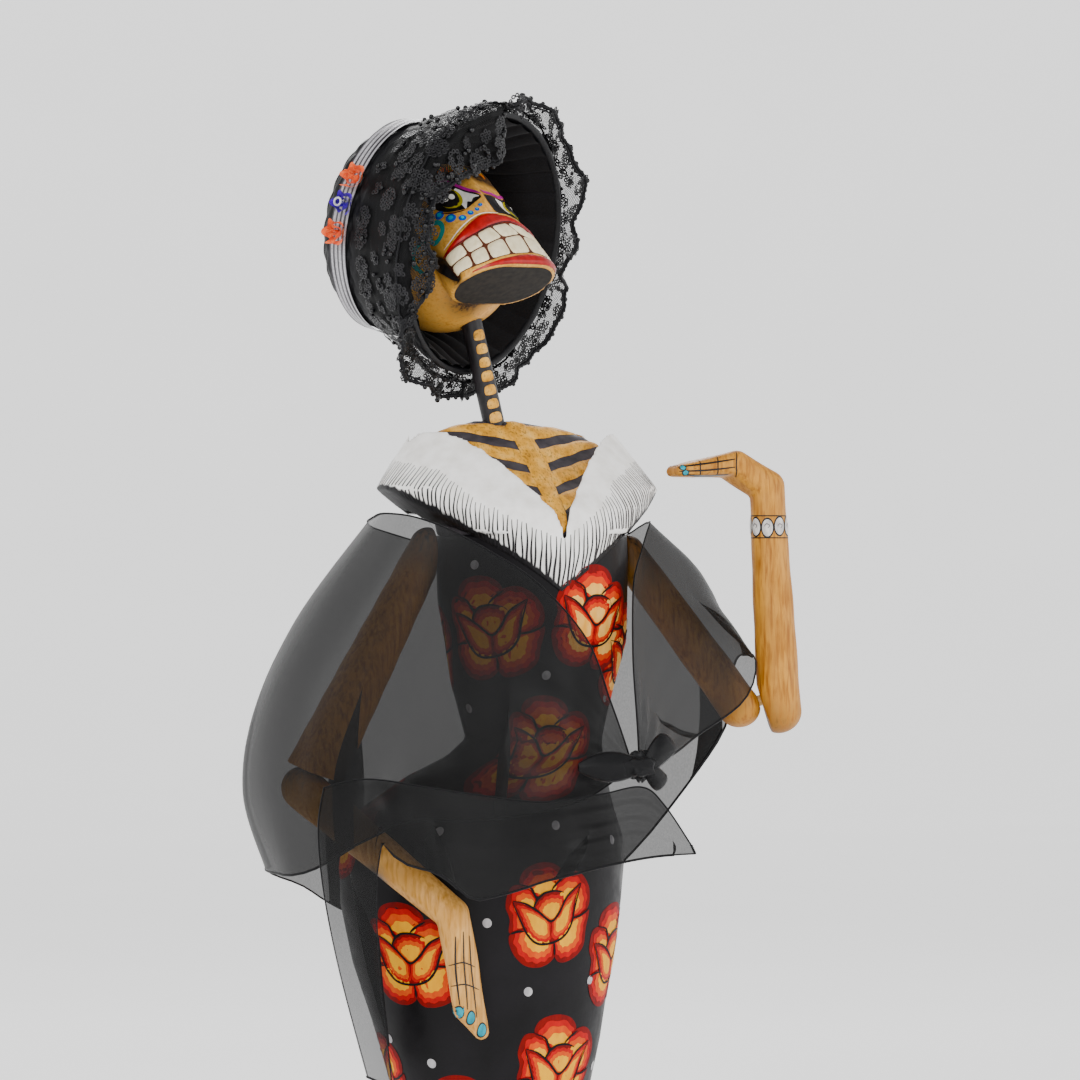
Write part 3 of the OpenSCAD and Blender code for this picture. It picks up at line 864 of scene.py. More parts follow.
def to_head(points):
    """Head coordinates: to the side, to the front and up."""
    local = (points - HEAD_AT) @ HEAD_AXES
    return local[:, 0], -local[:, 1], local[:, 2]


def from_head(side, front, up):
    return HEAD_AT + np.stack(np.broadcast_arrays(side, -array(front), up), -1) @ HEAD_AXES.T


def line_distance(points, line):
    """Distance of points from an open line of points."""
    a, b = array(line)[:-1][None], array(line)[1:][None]
    along = b - a
    share = ((points[:, None] - a) * along).sum(-1) / (along ** 2).sum(-1)
    return np.linalg.norm(points[:, None] - a - np.clip(share, 0, 1)[..., None] * along, axis=-1).min(1)


CHEEK_SLOT = array([(-22.8, 13, -18.5), (-23.9, 20.4, -26.4), (-25.6, 26, -36.5)])


def build_skull():
    points, normals, faces = carved("skull", 0.75, 4)
    side, front, up = to_head(points)
    local = np.stack([side, front, up], 1)
    face = step(18, 27, front)
    push = 2.0 * np.exp(-((side + 3.2) / 3.0) ** 2) * step(-9, -3, up) * (1 - step(10, 18, up)) * face
    for eye_side, eye_up in ((-13, 4.2), (11.5, -1)):
        push -= 1.7 * np.exp(-(((side - eye_side) / 8) ** 2 + ((up - eye_up) / 6) ** 2)) * face
    slot = np.minimum(line_distance(local, CHEEK_SLOT), line_distance(local, CHEEK_SLOT * [-1, 1, 1]))
    push -= 2.4 * np.exp(-(slot / 2.3) ** 2)
    points = points + normals * push[:, None]
    # Painted shade: dark brown over the upper face and forehead, lighter along the nose ridge.
    brown = 0.9 * step(7, 14, up) * step(6, 18, front) * (1 - 0.5 * np.exp(-((side + 3.2) / 3) ** 2))
    # Painted shade round the recesses of the cheek slots.
    brown = np.maximum(brown, 0.95 * np.exp(-(slot / 5.5) ** 2))
    # Painted shade under the jaw, beside the neck.
    throat = np.linalg.norm(local - [-6, 8, -38], axis=1)
    brown = np.maximum(brown, np.exp(-(throat / 13) ** 2))
    # Brown mottling all over, and more towards the back of the head, which is painted shade.
    brown = np.maximum(brown, 0.3 - 0.18 * step(-20, 12, front))
    return Build().add((points, faces), tint=brown)


def face_line(points, parts=6, closed=False):
    """A curve given by degrees round the face and millimetres up, in millimetres."""
    return smooth_line(array(points) * [FACE_SCALE, 1], parts, closed)


def disc(centre, radius, squeeze=1.0, steps=22):
    turn = full_turn(steps)
    return array(centre) + radius * np.stack([np.cos(turn), squeeze * np.sin(turn)], 1)


LIP_TOP = [(-66, -24), (-46, -17.8), (-26, -10.9), (-10, -8.4), (8, -9.4), (26, -12.5), (46, -18), (66, -24)]
TEETH_TOP = array([(-66, -24.3), (-45, -21.9), (-30, -19.4), (-12, -15.8), (8, -13.6), (26, -16.5),
                   (45, -20.5), (66, -24.3)])
TEETH_MID = array([(-60, -30.4), (-42, -29.1), (-27, -27), (-10, -23.6), (12, -21), (30, -24), (45, -27.5),
                   (60, -30.4)])
TEETH_LOW = array([(-58, -35.6), (-39, -36.3), (-26, -35.7), (-9, -33.6), (10, -32.4), (26, -33.2), (42, -35),
                   (58, -35.6)])
TOOTH_EDGES = [(-64, -60, -58), (-44, -41, -40), (-30, -27, -27), (-14, -8, -8), (6, 14, 12), (26, 32, 30),
               (45, 46, 44), (64, 60, 58)]


def tooth(left, right, upper, lower, row):
    """A rounded tooth between two dividing lines and two curves of the mouth."""
    def edge(a, b, curve):
        turn = np.linspace(a, b, 7)
        return np.stack([turn, np.interp(turn, curve[:, 0], curve[:, 1])], 1)
    top = edge(left[row], right[row], upper)
    low = edge(left[row + 1], right[row + 1], lower)[::-1]
    ends = [np.linspace(top[-1], low[0], 5)[1:-1], np.linspace(low[-1], top[0], 5)[1:-1]]
    shape = np.vstack([top, ends[0], low, ends[1]]) * [FACE_SCALE, 1]
    middle = shape.mean(0)
    shape = middle + (shape - middle) * (1 - 0.42 / np.maximum(np.abs(shape - middle).max(0), 1))
    return 0.5 * shape + 0.25 * (np.roll(shape, 1, 0) + np.roll(shape, -1, 0))


def skull_finishes():
    rows = [("tooth_ivory", "d6c8a4", "ece0c2", 0.4), ("lip_red", "7c0a10", "a3141a", 0.35),
            ("face_black", "0a090a", "1c191a", 0.35), ("face_white", "d8d4cd", "f3f0ea", 0.35),
            ("brow_magenta", "8f0c72", "b41f92", 0.35), ("dot_blue", "173a8f", "2b5fc4", 0.3),
            ("curl_teal", "0a7a78", "1b9c97", 0.35), ("eye_yellow", "7c7418", "a89b26", 0.35),
            # The dark grey for the jaw's underside is painted shade.
            ("flame_orange", "d2541a", "f09226", 0.4), ("jaw_painted_shade", "100f0e", "26221e", 0.8),
            ("dot_sky", "2b96b4", "3fb4c6", 0.3), ("mouth_brown", "3a1a10", "5a2c1a", 0.5)]
    return [brushed_paint(name, dark, light, rough, 2.5, bump=0.12) for name, dark, light, rough in rows]


IVORY, RED, BLACK, WHITE, MAGENTA, BLUE, TEAL, YELLOW, ORANGE, JAW_SHADE, SKY, BROWN = range(12)


LIP_LOW_TOP = [(-43, -38.2), (-30, -37.3), (-14, -35.6), (2, -33.6), (19, -33.9), (40, -36), (54, -37.6)]
LIP_LOW_EDGE = [(-43, -38.6), (-20, -38.9), (0, -38.8), (26, -38.8), (54, -38.3)]
LIP_SHINE = [(-60, -21.2), (-52, -19), (-40, -14.4), (-27, -10.4), (-14, -8.6), (2, -8.6)]
LIP_LINE = [(-66, -24.2), (-46, -22), (-30, -19.6), (-12, -16), (8, -13.8), (26, -16.6), (46, -20.7),
            (66, -24.2)]
MOUTH_END = [(-87, -21), (-79, -19.4), (-69, -21.6), (-62.5, -26), (-59.5, -31), (-57, -37), (-62, -36),
             (-71, -30.5), (-81, -25.5)]
SOCKET = [(-66, 8), (-62, 3), (-54, -1), (-46, -3.2), (-37, -3.8), (-27, -3.4), (-18, -1.2), (-8, 1.2),
          (-12, 4.4), (-20, 8), (-36, 13), (-52, 13.6)]
EYE_WHITE = [(-32, 9.2), (-21, 6.6), (-9.5, 1.9), (-15, 1.9), (-19, 0), (-23, 0.6), (-29, -3.6)]
EYE_CORNER = [(-66, 11.6), (-56, 12.6), (-52, 11.8), (-60, 9.4)]
BROW = [(-68, 11), (-58, 13.7), (-46, 14.6), (-36, 13.6), (-20, 8.3), (-7, 3)]
FAR_SOCKET = [(-1, 0), (0, 3.6), (12, 3.9), (26, 3.7), (40, 4.6), (54, 6), (62, 2), (58, -4), (46, -7.5),
              (30, -8.2), (14, -7.8), (3, -7)]
FAR_WHITE = [(20, 2.8), (31, 2.9), (36, 2), (33, -5.4), (27, -1.5)]
FAR_BROW = [(-4, 5.6), (8, 5), (20, 4.8), (34, 5), (48, 7), (62, 7)]
CHEEK_DOTS = [(-56, -2.9, 1.9), (-46, -6.8, 2.0), (-35.5, -8.6, 1.4), (-26, -6.6, 1.1), (-18, -5.2, 0.8),
              (-13, -3.2, 0.6)]
CURL = [(-56.5, -10.5), (-58, -6.6), (-65, -5.4), (-72, -7.4), (-74, -11), (-70, -14.4), (-62, -14)]
CURL_TAIL = [(-78, -10.5), (-87, -11.4), (-95, -14.4), (-98, -20), (-96, -24)]
# Turn round the face, height of the tip and half width of each forehead flame
FLAMES = [(-40, 20, 7), (-24, 17.5, 6), (-6, 18.5, 7), (14, 16.5, 6), (34, 16, 7)]


def flipped(points, flip, drop=0.0):
    """The points mirrored to the other side of the face where flip is -1, and lowered by the drop."""
    return [(flip * turn, up - drop) for turn, up in points]


class FacePaint:
    """Paint on the skull, laid out in degrees round the face and millimetres up."""

    def __init__(self, skull):
        self.surface = skull.hull()
        self.build = Build()

    def place(self, flat):
        turn = np.radians(flat[:, 0] / FACE_SCALE)
        start = from_head(46 * np.sin(turn), FACE_CENTRE + 46 * np.cos(turn), flat[:, 1])
        ahead = from_head(0 * turn, FACE_CENTRE + 0 * turn, flat[:, 1]) - start
        return onto(self.surface, start, unit(ahead))

    def under(self, flat):
        start = from_head(flat[:, 0], flat[:, 1], -60 + 0 * flat[:, 0])
        return onto(self.surface, start, HEAD_AXES[:, 2])

    def spot(self, outline, finish, lift, **shape):
        self.build.add(patch(outline, self.place, lift, **shape), finish)

    def area(self, points, finish, lift, parts=4, **shape):
        self.spot(face_line(points, parts, True), finish, lift, **shape)

    def line(self, points, width, finish, lift=0.3, taper=0.6, closed=False):
        curve = face_line(points, closed=closed)
        if closed:
            curve = np.vstack([curve, curve[:2]])
        self.build.add(brush(curve, width, self.place, lift, taper, gap=0.7), finish)


def paint_mouth(face):
    face.spot(np.vstack([face_line(TEETH_TOP), face_line(TEETH_LOW)[::-1]]), BROWN, 0.12)
    for row, (upper, lower) in enumerate(((TEETH_TOP, TEETH_MID), (TEETH_MID, TEETH_LOW))):
        for left, right in zip(TOOTH_EDGES[:-1], TOOTH_EDGES[1:]):
            outline = tooth(left, right, upper, lower, row)
            face.spot(outline, IVORY, 0.22, bulge=0.75, rim=1.4, spacing=1.0)
    lip = np.vstack([face_line(LIP_TOP), face_line(TEETH_TOP)[::-1][2:-2]])
    face.spot(lip, RED, 0.2, bulge=1.1, rim=2.0, spacing=1.1)
    low_lip = np.vstack([face_line(LIP_LOW_TOP), face_line(LIP_LOW_EDGE)[::-1]])
    face.spot(low_lip, RED, 0.2, bulge=0.9, rim=1.6, spacing=1.1)
    face.line(LIP_SHINE, 0.5, WHITE, 1.0)
    face.line(LIP_LINE, 0.5, BLACK, 1.0)
    for flip in (1, -1):
        face.area(flipped(MOUTH_END, flip), BLACK, 0.35, spacing=0.9)


def paint_near_eye(face):
    face.area(SOCKET, BLACK, 0.12)
    face.area(EYE_WHITE, WHITE, 0.2, 3)
    face.area(EYE_CORNER, WHITE, 0.2, 3)
    eye = array([-39 * FACE_SCALE, 3.9])
    face.spot(disc(eye, 5.7), YELLOW, 0.3, bulge=0.5, rim=4)
    face.spot(disc(eye + [-0.7, 0.25], 5.25), BLACK, 0.5, bulge=0.6, rim=4)
    face.spot(disc(eye + [0.1, 0.9], 1.7), WHITE, 1.25)
    face.spot(disc(eye + [-3.0, -0.5], 1.0), WHITE, 1.2)
    face.line(BROW, 1.7, MAGENTA, 0.42)
    face.line([(-30, -4.4), (-42, -4.6), (-54, -2.4)], 0.8, BROWN, 0.3)


def paint_far_eye(face):
    """The far eye, a little lower than the near one."""
    face.area(FAR_SOCKET, BLACK, 0.12)
    face.area(FAR_WHITE, WHITE, 0.2, 3)
    eye = array([45 * FACE_SCALE, -1.5])
    face.spot(disc(eye, 5.2), YELLOW, 0.3, bulge=0.5, rim=4)
    face.spot(disc(eye + [0.6, 0.2], 4.6), BLACK, 0.5, bulge=0.6, rim=4)
    face.spot(disc(eye + [1.8, 1.0], 1.6), WHITE, 1.2)
    face.line(FAR_BROW, 1.7, MAGENTA, 0.42)


def paint_cheeks(face):
    """Blue dots and teal curls; the far side is lower and leaves out the smallest dots."""
    for flip, drop in ((1, 0), (-1, 4.5)):
        for turn, up, radius in CHEEK_DOTS:
            if flip < 0 and radius < 1.2:
                continue
            centre = (flip * turn * FACE_SCALE, up - drop)
            face.spot(disc(centre, radius + 0.25), BLUE, 0.2, bulge=0.25)
            face.spot(disc(centre, radius * 0.55), SKY, 0.55)
        face.line(flipped(CURL, flip, drop * 0.6), 2.3, TEAL, 0.2, taper=0.15, closed=True)
        face.line(flipped(CURL_TAIL, flip, drop * 0.6), 1.8, TEAL, 0.2)


def paint_forehead(face):
    for turn, tip, wide in FLAMES:
        face.area([(turn - wide, 22), (turn - 1, tip), (turn + wide, 22), (turn, 24.5)], ORANGE, 0.15)
        core = [(turn - wide * 0.5, 22.6), (turn, tip + 2), (turn + wide * 0.5, 22.6), (turn, 24)]
        face.area(core, YELLOW, 0.24)


def paint_jaw_shade(face):
    """Painted shade on the flat underside of the jaw: a dark patch of two half discs and what lies between
    them.
    """
    left, right = (disc((side, 26), 16.4, steps=40) for side in (-8, 8))
    left, right = left[left[:, 0] <= -8], right[right[:, 0] >= 8]
    stadium = np.vstack([right[np.argsort(right[:, 1])], left[np.argsort(-left[:, 1])]])
    face.build.add(patch(stadium, face.under, 0.1, spacing=2.4), JAW_SHADE)


def paint_skull(skull):
    """All the paint of the face, from the mouth up, and then the painted shade on the jaw's underside."""
    face = FacePaint(skull)
    for part in (paint_mouth, paint_near_eye, paint_far_eye, paint_cheeks, paint_forehead, paint_jaw_shade):
        part(face)
    return face.build


# Arms ------------------------------------------------------------------------

def build_arm(node, ends, reach, even_painted_shade):
    """A carved arm with painted shade: dark near the given points, and a little dark all over."""
    points, normals, faces = carved(node, 0.85, 4)
    knots = np.sin(points @ array([0.21, 0.13, 0.09])) * np.sin(points @ array([-0.05, 0.24, 0.16]))
    points = points + normals * (0.22 * knots)[:, None]
    shade = np.full(len(points), even_painted_shade)
    for end, size in zip(ends, reach):
        near = np.exp(-(np.linalg.norm(points - array(end), axis=1) / size) ** 2)
        shade = np.maximum(shade, near)
    return Build().add((points, faces), tint=shade)


def side_of(build, start_y):
    """Places (x, z) points on the front of a build, or on its back where start_y lies behind it."""
    surface = build.hull()

    def place(flat):
        start = np.stack([flat[:, 0], np.full(len(flat), start_y), flat[:, 1]], 1)
        return onto(surface, start, array([0, -math.copysign(1, start_y), 0]))
    return place


def paint_hand(build, gaps, joints, nails):
    """Black finger lines and joints, and turquoise nails with black edges."""
    paint = Build()
    for place in (side_of(build, -140.0), side_of(build, 60.0)):
        for points in gaps:
            paint.add(brush(smooth_line(points, 5), 0.75, place, 0.14, taper=0.5, gap=0.8), 0)
        for points in joints:
            paint.add(brush(smooth_line(points, 4), 0.6, place, 0.14, taper=0.7, gap=0.6), 0)
        for x, z, size, squeeze in nails:
            paint.add(patch(disc((x, z), size + 0.35, squeeze), place, 0.12, spacing=0.8), 0)
            paint.add(patch(disc((x, z), size - 0.1, squeeze), place, 0.2, bulge=0.25, spacing=0.8), 1)
    return paint


def paint_bracelet(forearm):
    """Painted pearls round the left wrist."""
    surface = forearm.hull()
    paint = Build()
    middle, wrist_r, count = array([122.6, -23.1, 402.0]), 8.3, 9

    def place(flat):
        turn = flat[:, 0] / wrist_r
        out = np.stack([np.cos(turn), np.sin(turn), 0 * turn], 1)
        start = middle + out * 25 + np.stack([0 * turn, 0 * turn, flat[:, 1]], 1)
        return onto(surface, start, -out)
    pitch = 2 * math.pi * wrist_r / count
    for k in range(count):
        centre = (pitch * k, 0.5 * math.sin(k * 1.9))
        paint.add(patch(disc(centre, pitch * 0.52, 1.55), place, 0.1, spacing=1.1), 0)
        paint.add(patch(disc(centre, pitch * 0.42, 1.6), place, 0.16, bulge=0.3, spacing=1.1), 2)
        swirl = [(centre[0] + x, z) for x, z in ((-1.3, 0.2), (-0.4, 1.4), (1.0, 0.6), (0.2, -0.6))]
        paint.add(brush(smooth_line(swirl, 5), 0.5, place, 0.5, taper=0.5, gap=0.5), 3)
    for side in (-1, 1):
        row = np.stack([np.linspace(0, 2 * math.pi * wrist_r, 80), np.full(80, side * 5.0)], 1)
        paint.add(brush(row, 0.5, place, 0.14), 0)
    return paint


def make_arms():
    golden = carved_wood("arm_golden_wood", "c28b45", "8f5a26", "180c06")
    blonde = carved_wood("arm_blonde_wood", "cf9f62", "a87638", "1d0f08")
    inks = [brushed_paint("ink_black", "0c0a0a", "1e1a18", size=2),
            brushed_paint("nail_turquoise", "0b6f7c", "1f97a6", 0.3, 2),
            brushed_paint("pearl_paint", "a9a5a3", "dedad6", 0.35, 2),
            brushed_paint("pearl_shadow", "5d595a", "7d797a", 0.4, 2)]
    # Painted shade: each arm darkens near its listed points, mostly at shoulders and elbows, and evenly by
    # the last number, which is higher for arms under the shawl.
    right_upper = build_arm("right_upper_arm", [(-32, 8, 398), (-86, -6, 298)], (24, 15), 0.12)
    right_lower = build_arm("right_forearm", [(-98, -10, 294), (-70, -35, 250)], (13, 8), 0.1)
    left_upper = build_arm("left_upper_arm", [(62, 4, 392), (108, -12, 322)], (24, 13), 0.12)
    left_lower = build_arm("left_forearm", [(126, -20, 316), (124, -14, 420)], (13, 7), 0.04)
    right_upper.piece("right_upper_arm_wood", [golden], "figure", "arm_paint", "right_upper_arm")
    right_lower.piece("right_forearm_wood", [blonde], "right_forearm", "arm_paint", "right_forearm")
    left_upper.piece("left_upper_arm_wood", [golden], "figure", "arm_paint", "left_upper_arm")
    left_lower.piece("left_forearm_wood", [golden], "left_forearm", "arm_paint", "left_forearm")
    right_gaps = [[(-44.5, 224), (-44, 208), (-42.2, 194)], [(-41, 226), (-40, 208), (-38.6, 192)],
                  [(-37.6, 224), (-36, 208), (-33.6, 188)]]
    right_joints = [[(-47, 211), (-41, 212.5), (-34, 210)], [(-46, 202), (-40, 203), (-32, 200)]]
    right_nails = [(-42.4, 190.6, 1.9, 1.4), (-36.6, 188.2, 2.0, 1.4), (-30.6, 182.4, 2.1, 1.4)]
    paint_hand(right_lower, right_gaps, right_joints, right_nails).piece(
        "right_hand_paint", inks, "right_forearm", "arm_paint")
    left_gaps = [[(77, 429), (90, 430.6), (103, 432.6)], [(77, 427), (90, 427.6), (103, 429)],
                 [(79, 425.6), (91, 425), (101, 425.8)]]
    left_joints = [[(87, 432), (86.4, 428.5), (87.4, 424.4)], [(95.5, 434), (94.8, 429), (96, 424.2)],
                   [(104.5, 436), (103.4, 430), (105, 424.6)]]
    left_nails = [(78.4, 428.6, 1.2, 0.8), (79.6, 426.4, 1.3, 0.8)]
    paint_hand(left_lower, left_gaps, left_joints, left_nails).piece(
        "left_hand_paint", inks, "left_forearm", "arm_paint")
    paint_bracelet(left_lower).piece("left_wrist_bracelet", inks, "left_forearm", "arm_paint")


# Hat -------------------------------------------------------------------------

HAT_AT = array([-1.4, 13.6, 530])
HAT_AXES = array(Euler([math.radians(a) for a in (0, 102, -55)]).to_matrix())
HAT_OUTLINE = [(60, 0), (57, -8), (53, -16), (50.5, -24), (49, -32), (48, -42), (46.5, -51), (43, -58),
               (37, -62), (20, -63.6), (0.4, -64)]


def hat_point(turn, radius, depth):
    """A point in the hat's own frame: turn in degrees, from straight down round by the far side."""
    turn = np.radians(array(turn))
    local = np.stack(np.broadcast_arrays(radius * np.cos(turn), radius * np.sin(turn), depth), -1)
    return HAT_AT + local @ HAT_AXES.T


def profile(points, gap, inset=0.0):
    """A hat outline with even spacing, moved inwards by the inset."""
    line = spaced(smooth_line(points, 8), gap)
    ahead = unit(np.gradient(line, axis=0))
    inward = np.stack([ahead[:, 1], -ahead[:, 0]], 1)
    return line + inward * inset, -inward


def build_straw():
    """Rows of plaited straw sewn round and round, over a smooth inner face."""
    outer, out = profile(HAT_OUTLINE, 0.75)
    turns = np.arange(0, 360, 0.9)
    run = np.arange(len(outer)) * 0.75
    row_width = 6.2
    row = np.floor(run / row_width)
    across = np.abs((run / row_width - row) * 2 - 1)
    strand = np.radians(turns)[None] * 60 / 2.6 + 2.1 * row[:, None]
    weave = np.sin(strand + 3.0 * across[:, None]) * 0.32
    rib = 0.75 * np.sqrt(np.clip(1 - across ** 2, 0, 1))
    rise = (rib[:, None] + weave) * np.clip(outer[:, 0] / 12, 0, 1)[:, None]
    rings = hat_point(turns[None], outer[:, :1] + out[:, :1] * rise, outer[:, 1:] + out[:, 1:] * rise)
    inner, _ = profile(HAT_OUTLINE, 2.4, inset=1.8)
    inner = inner[inner[:, 0] > 0.5]
    inside = hat_point(turns[None], inner[::-1, :1], inner[::-1, 1:])
    edge = hat_point(turns[None], array([[60.0]]), array([[0.0]]))
    build = Build()
    build.add(grid(np.concatenate([edge, rings]), wrap=True))
    build.add(grid(np.concatenate([inside, edge]), wrap=True))
    return build


def build_lining():
    """One pleated cup of black cloth inside the straw."""
    line, _ = profile(HAT_OUTLINE, 1.5, inset=2.35)
    line = line[line[:, 0] > 1.0][1:]
    turns = np.arange(0, 360, 1.0)
    fold = np.abs(np.sin(np.radians(turns) * 17 + 0.6 * np.sin(np.radians(turns) * 5))) ** 0.6
    deep = 1.5 * fold[None] * np.clip(line[:, :1] / 30, 0, 1)
    points = hat_point(turns[None], line[:, :1] - deep, line[:, 1:] + 0 * deep)
    build = Build()
    around, along = np.meshgrid(turns * 0.9, np.arange(len(line)) * 1.5)
    build.add(grid(points, wrap=True), cloth=np.stack([around, along], -1))
    return build


# Distance of the scalloped edge from the hat's axis at each turn
LACE_TURNS = [16, 28, 41, 56, 69, 78, 81, 87, 98, 111, 129, 140, 164, 182, 190, 200, 210, 225, 245, 258,
              264, 283, 296, 304, 311, 326, 339, 353]
LACE_EDGE = [68, 74, 75, 80, 78, 84, 72, 72, 78, 81, 76, 74, 70, 62, 42, 40, 39, 44, 53, 61,
             56, 49, 50, 60, 70, 74, 71, 72]
LACE_ROWS = 44


def lace_surface():
    """The lace as a grid: rows from the crown over the brim to the scalloped edge."""
    turns = np.arange(0, 360, 0.75)
    edge = np.interp(turns, LACE_TURNS, LACE_EDGE, period=360)
    edge = edge + 1.6 * np.abs(np.sin(np.radians(turns) * 9)) - 0.8
    fold = step(180, 191, turns) * (1 - step(296, 308, turns))
    wave = np.sin(np.radians(turns) * 13 + 0.7 * np.sin(np.radians(turns) * 4))
    small = np.sin(np.radians(turns) * 31 + 1.3)
    out_path = [(50.6 + 0 * edge, -36), (54.6, -24), (58.8, -13), (62.2, -5), (63.0, -1.5),
                (62.4 + (edge - 62.4) * 0.5, -2), (edge, -2.5)]
    in_path = [(50.6 + 0 * edge, -36), (55.0, -24), (59.6, -13), (62.8, -5), (62.6, 1.2),
               (59 + (edge - 59) * 0.5, 4.5), (edge, 6)]
    stations = []
    for (r0, z0), (r1, z1) in zip(out_path, in_path):
        stations.append(np.stack([r0 + (r1 - r0) * fold, z0 + (z1 - z0) * fold + 0 * edge], -1))
    rows = smooth_line(np.stack(stations).reshape(len(stations), -1), 12).reshape(-1, len(turns), 2)
    picks = np.linspace(0, len(rows) - 1, LACE_ROWS).round().astype(int)
    rows = rows[picks]
    share = np.linspace(0, 1, LACE_ROWS)[:, None]
    loose = step(0.45, 1.0, share)
    puff = (0.7 + 0.5 * wave[None] + 0.25 * small[None]) * (1 - 0.3 * loose) * step(0.0, 0.15, share)
    lift = loose * (2.3 * wave + 0.8 * small)[None] * (1 - 0.45 * fold[None])
    radius = rows[..., 0] + puff * (1 - loose)
    depth = rows[..., 1] + lift
    points = hat_point(turns[None], radius, depth)
    cloth = np.stack([np.broadcast_to(np.radians(turns) * 58, radius.shape),
                      np.broadcast_to(share * 62, radius.shape)], -1)
    return points, cloth


class Sheet:
    """Looks up points and normals on a grid that wraps round."""

    def __init__(self, points):
        self.points = points
        ahead = np.roll(points, -1, 1) - np.roll(points, 1, 1)
        down = np.gradient(points, axis=0)
        self.normals = unit(np.cross(ahead, down))
        if (self.normals[5, :, :] * (points[5] - points[5].mean(0))).sum() < 0:
            self.normals = -self.normals

    def at(self, row, column):
        rows, cols = self.points.shape[:2]
        j = int(np.clip(round(row), 0, rows - 1))
        i = int(round(column)) % cols
        return self.points[j, i], self.normals[j, i]


def sequin(sheet, row, column, aside, along, lift):
    """A flat ring that lies on the sheet, moved aside and along from a place."""
    centre, normal = sheet.at(row, column)
    across = unit(np.cross(normal, [0.2, 0.1, 0.97]))
    down = np.cross(normal, across)
    centre = centre + across * aside + down * along
    tilt = normal + across * random.normal(0, 0.12) + down * random.normal(0, 0.12)
    normal = unit(tilt)
    across = unit(np.cross(normal, down))
    down = np.cross(normal, across)
    turn = full_turn(10)[None, :, None]
    ring = np.cos(turn) * across + np.sin(turn) * down
    size = array([1.18, 1.14, 0.55, 0.5])[:, None, None]
    high = array([0.0, 0.22, 0.22, 0.0])[:, None, None]
    rings = centre + normal * (lift + high) + size * ring
    return grid(np.concatenate([rings, rings[:1]]), wrap=True)


def ball(centre, radius, sides=10, rings=6):
    up = np.linspace(-math.pi / 2 * 0.98, math.pi / 2 * 0.98, rings)[:, None]
    turn = full_turn(sides)[None]
    points = np.stack([np.cos(up) * np.cos(turn), np.cos(up) * np.sin(turn), np.sin(up) + 0 * turn], -1)
    return grid(array(centre) + radius * points, wrap=True)


def build_trims(points):
    """Sequin flowers, the corded edge and the beads of the lace."""
    sheet = Sheet(points)
    rows, cols = points.shape[:2]
    sequins, cord, beads = Build(), Build(), Build()
    flower = [(0, 0)]
    for ring, count in ((2.35, 6), (4.5, 12)):
        flower += [(ring * math.cos(2 * math.pi * k / count), ring * math.sin(2 * math.pi * k / count))
                   for k in range(count)]
    for band, row in enumerate((4, 11, 18, 25, 33, 39)):
        count = 30
        for k in range(count):
            column = (k + 0.5 * (band % 2) + random.uniform(-0.2, 0.2)) * cols / count
            middle = row + random.uniform(-1.5, 1.5)
            size = 19 if random.random() < 0.55 else 7
            for aside, along in flower[:size]:
                if random.random() < 0.93:
                    sequins.add(sequin(sheet, middle, column, aside, along, 0.35 + random.uniform(0, 0.3)))
    for k in range(230):
        row, column = random.uniform(2, rows - 2), random.uniform(0, cols)
        centre, normal = sheet.at(row, column)
        beads.add(ball(centre + normal * 1.0, random.uniform(0.9, 1.35)))
    edge = points[-1]
    normal = sheet.normals[-1]
    inward = unit(points[-4] - points[-1])
    pulse = 1.0 + 0.28 * np.sin(np.arange(cols) * math.pi * 0.8)
    cord.add(tube(edge, pulse * 0.95, 8, closed=True))
    cord.add(tube(edge + inward * 1.7 + normal * 0.2, 0.45, 6, closed=True))
    for k in range(0, cols, 4):
        start, end = edge[k] + normal[k] * 0.3, edge[(k + 2) % cols] + inward[k] * 3.1 + normal[k] * 0.3
        cord.add(tube(np.linspace(start, end, 3), 0.42, 5))
    for k in range(0, cols, 9):
        beads.add(ball(edge[k] - inward[k] * 1.2, 1.0 + 0.35 * random.random(), 8, 5))
    inner = points[24]
    cord.add(tube(inner + sheet.normals[24] * 0.5, 0.5, 6, closed=True))
    return sequins, cord, beads


def ribbon_rose(turn, depth, size, loops):
    """A gathered ribbon rose: one strip wound outwards with a ruffled edge."""
    out = hat_point(turn, 1.0, 0.0) - hat_point(turn, 0.0, 0.0)
    middle = hat_point(turn, 49.8, -depth)
    east = unit(np.cross(out, HAT_AXES[:, 2]))
    north = np.cross(east, out)
    share = np.linspace(0, 1, int(46 * loops))
    angle = share * loops * 2 * math.pi
    radius = size * (0.12 + 0.62 * share)
    rows = []
    for level in np.linspace(0, 1, 7):
        ruffle = 0.16 * size * level * np.sin(angle * 4.3 + 1.2 * np.sin(angle))
        spread = radius + (0.35 * size * share + ruffle) * level
        height = size * (0.1 + level * (0.95 - 0.5 * share)) + 0.12 * size * level * np.sin(angle * 3.1)
        ring = np.cos(angle)[:, None] * east + np.sin(angle)[:, None] * north
        rows.append(middle + spread[:, None] * ring + height[:, None] * out)
    return grid(np.stack(rows)), middle, out


def build_band():
    """Striped organza round the crown."""
    turns = np.arange(0, 360, 1.5)
    levels = np.linspace(42.2, 51.8, 17)
    crease = 0.18 * np.sin(levels[:, None] * 2.1 + np.sin(np.radians(turns) * 7)[None])
    radius = np.interp(levels, [42, 52], [49.75, 48.9])[:, None] + crease
    points = hat_point(turns[None], radius, -levels[:, None] + 0 * radius)
    stripe = np.broadcast_to((np.sin(levels * 2.6) > 0.1)[:, None].astype(float), radius.shape)
    build = Build()
    build.add(grid(points, wrap=True), tint=stripe.reshape(-1))
    return build


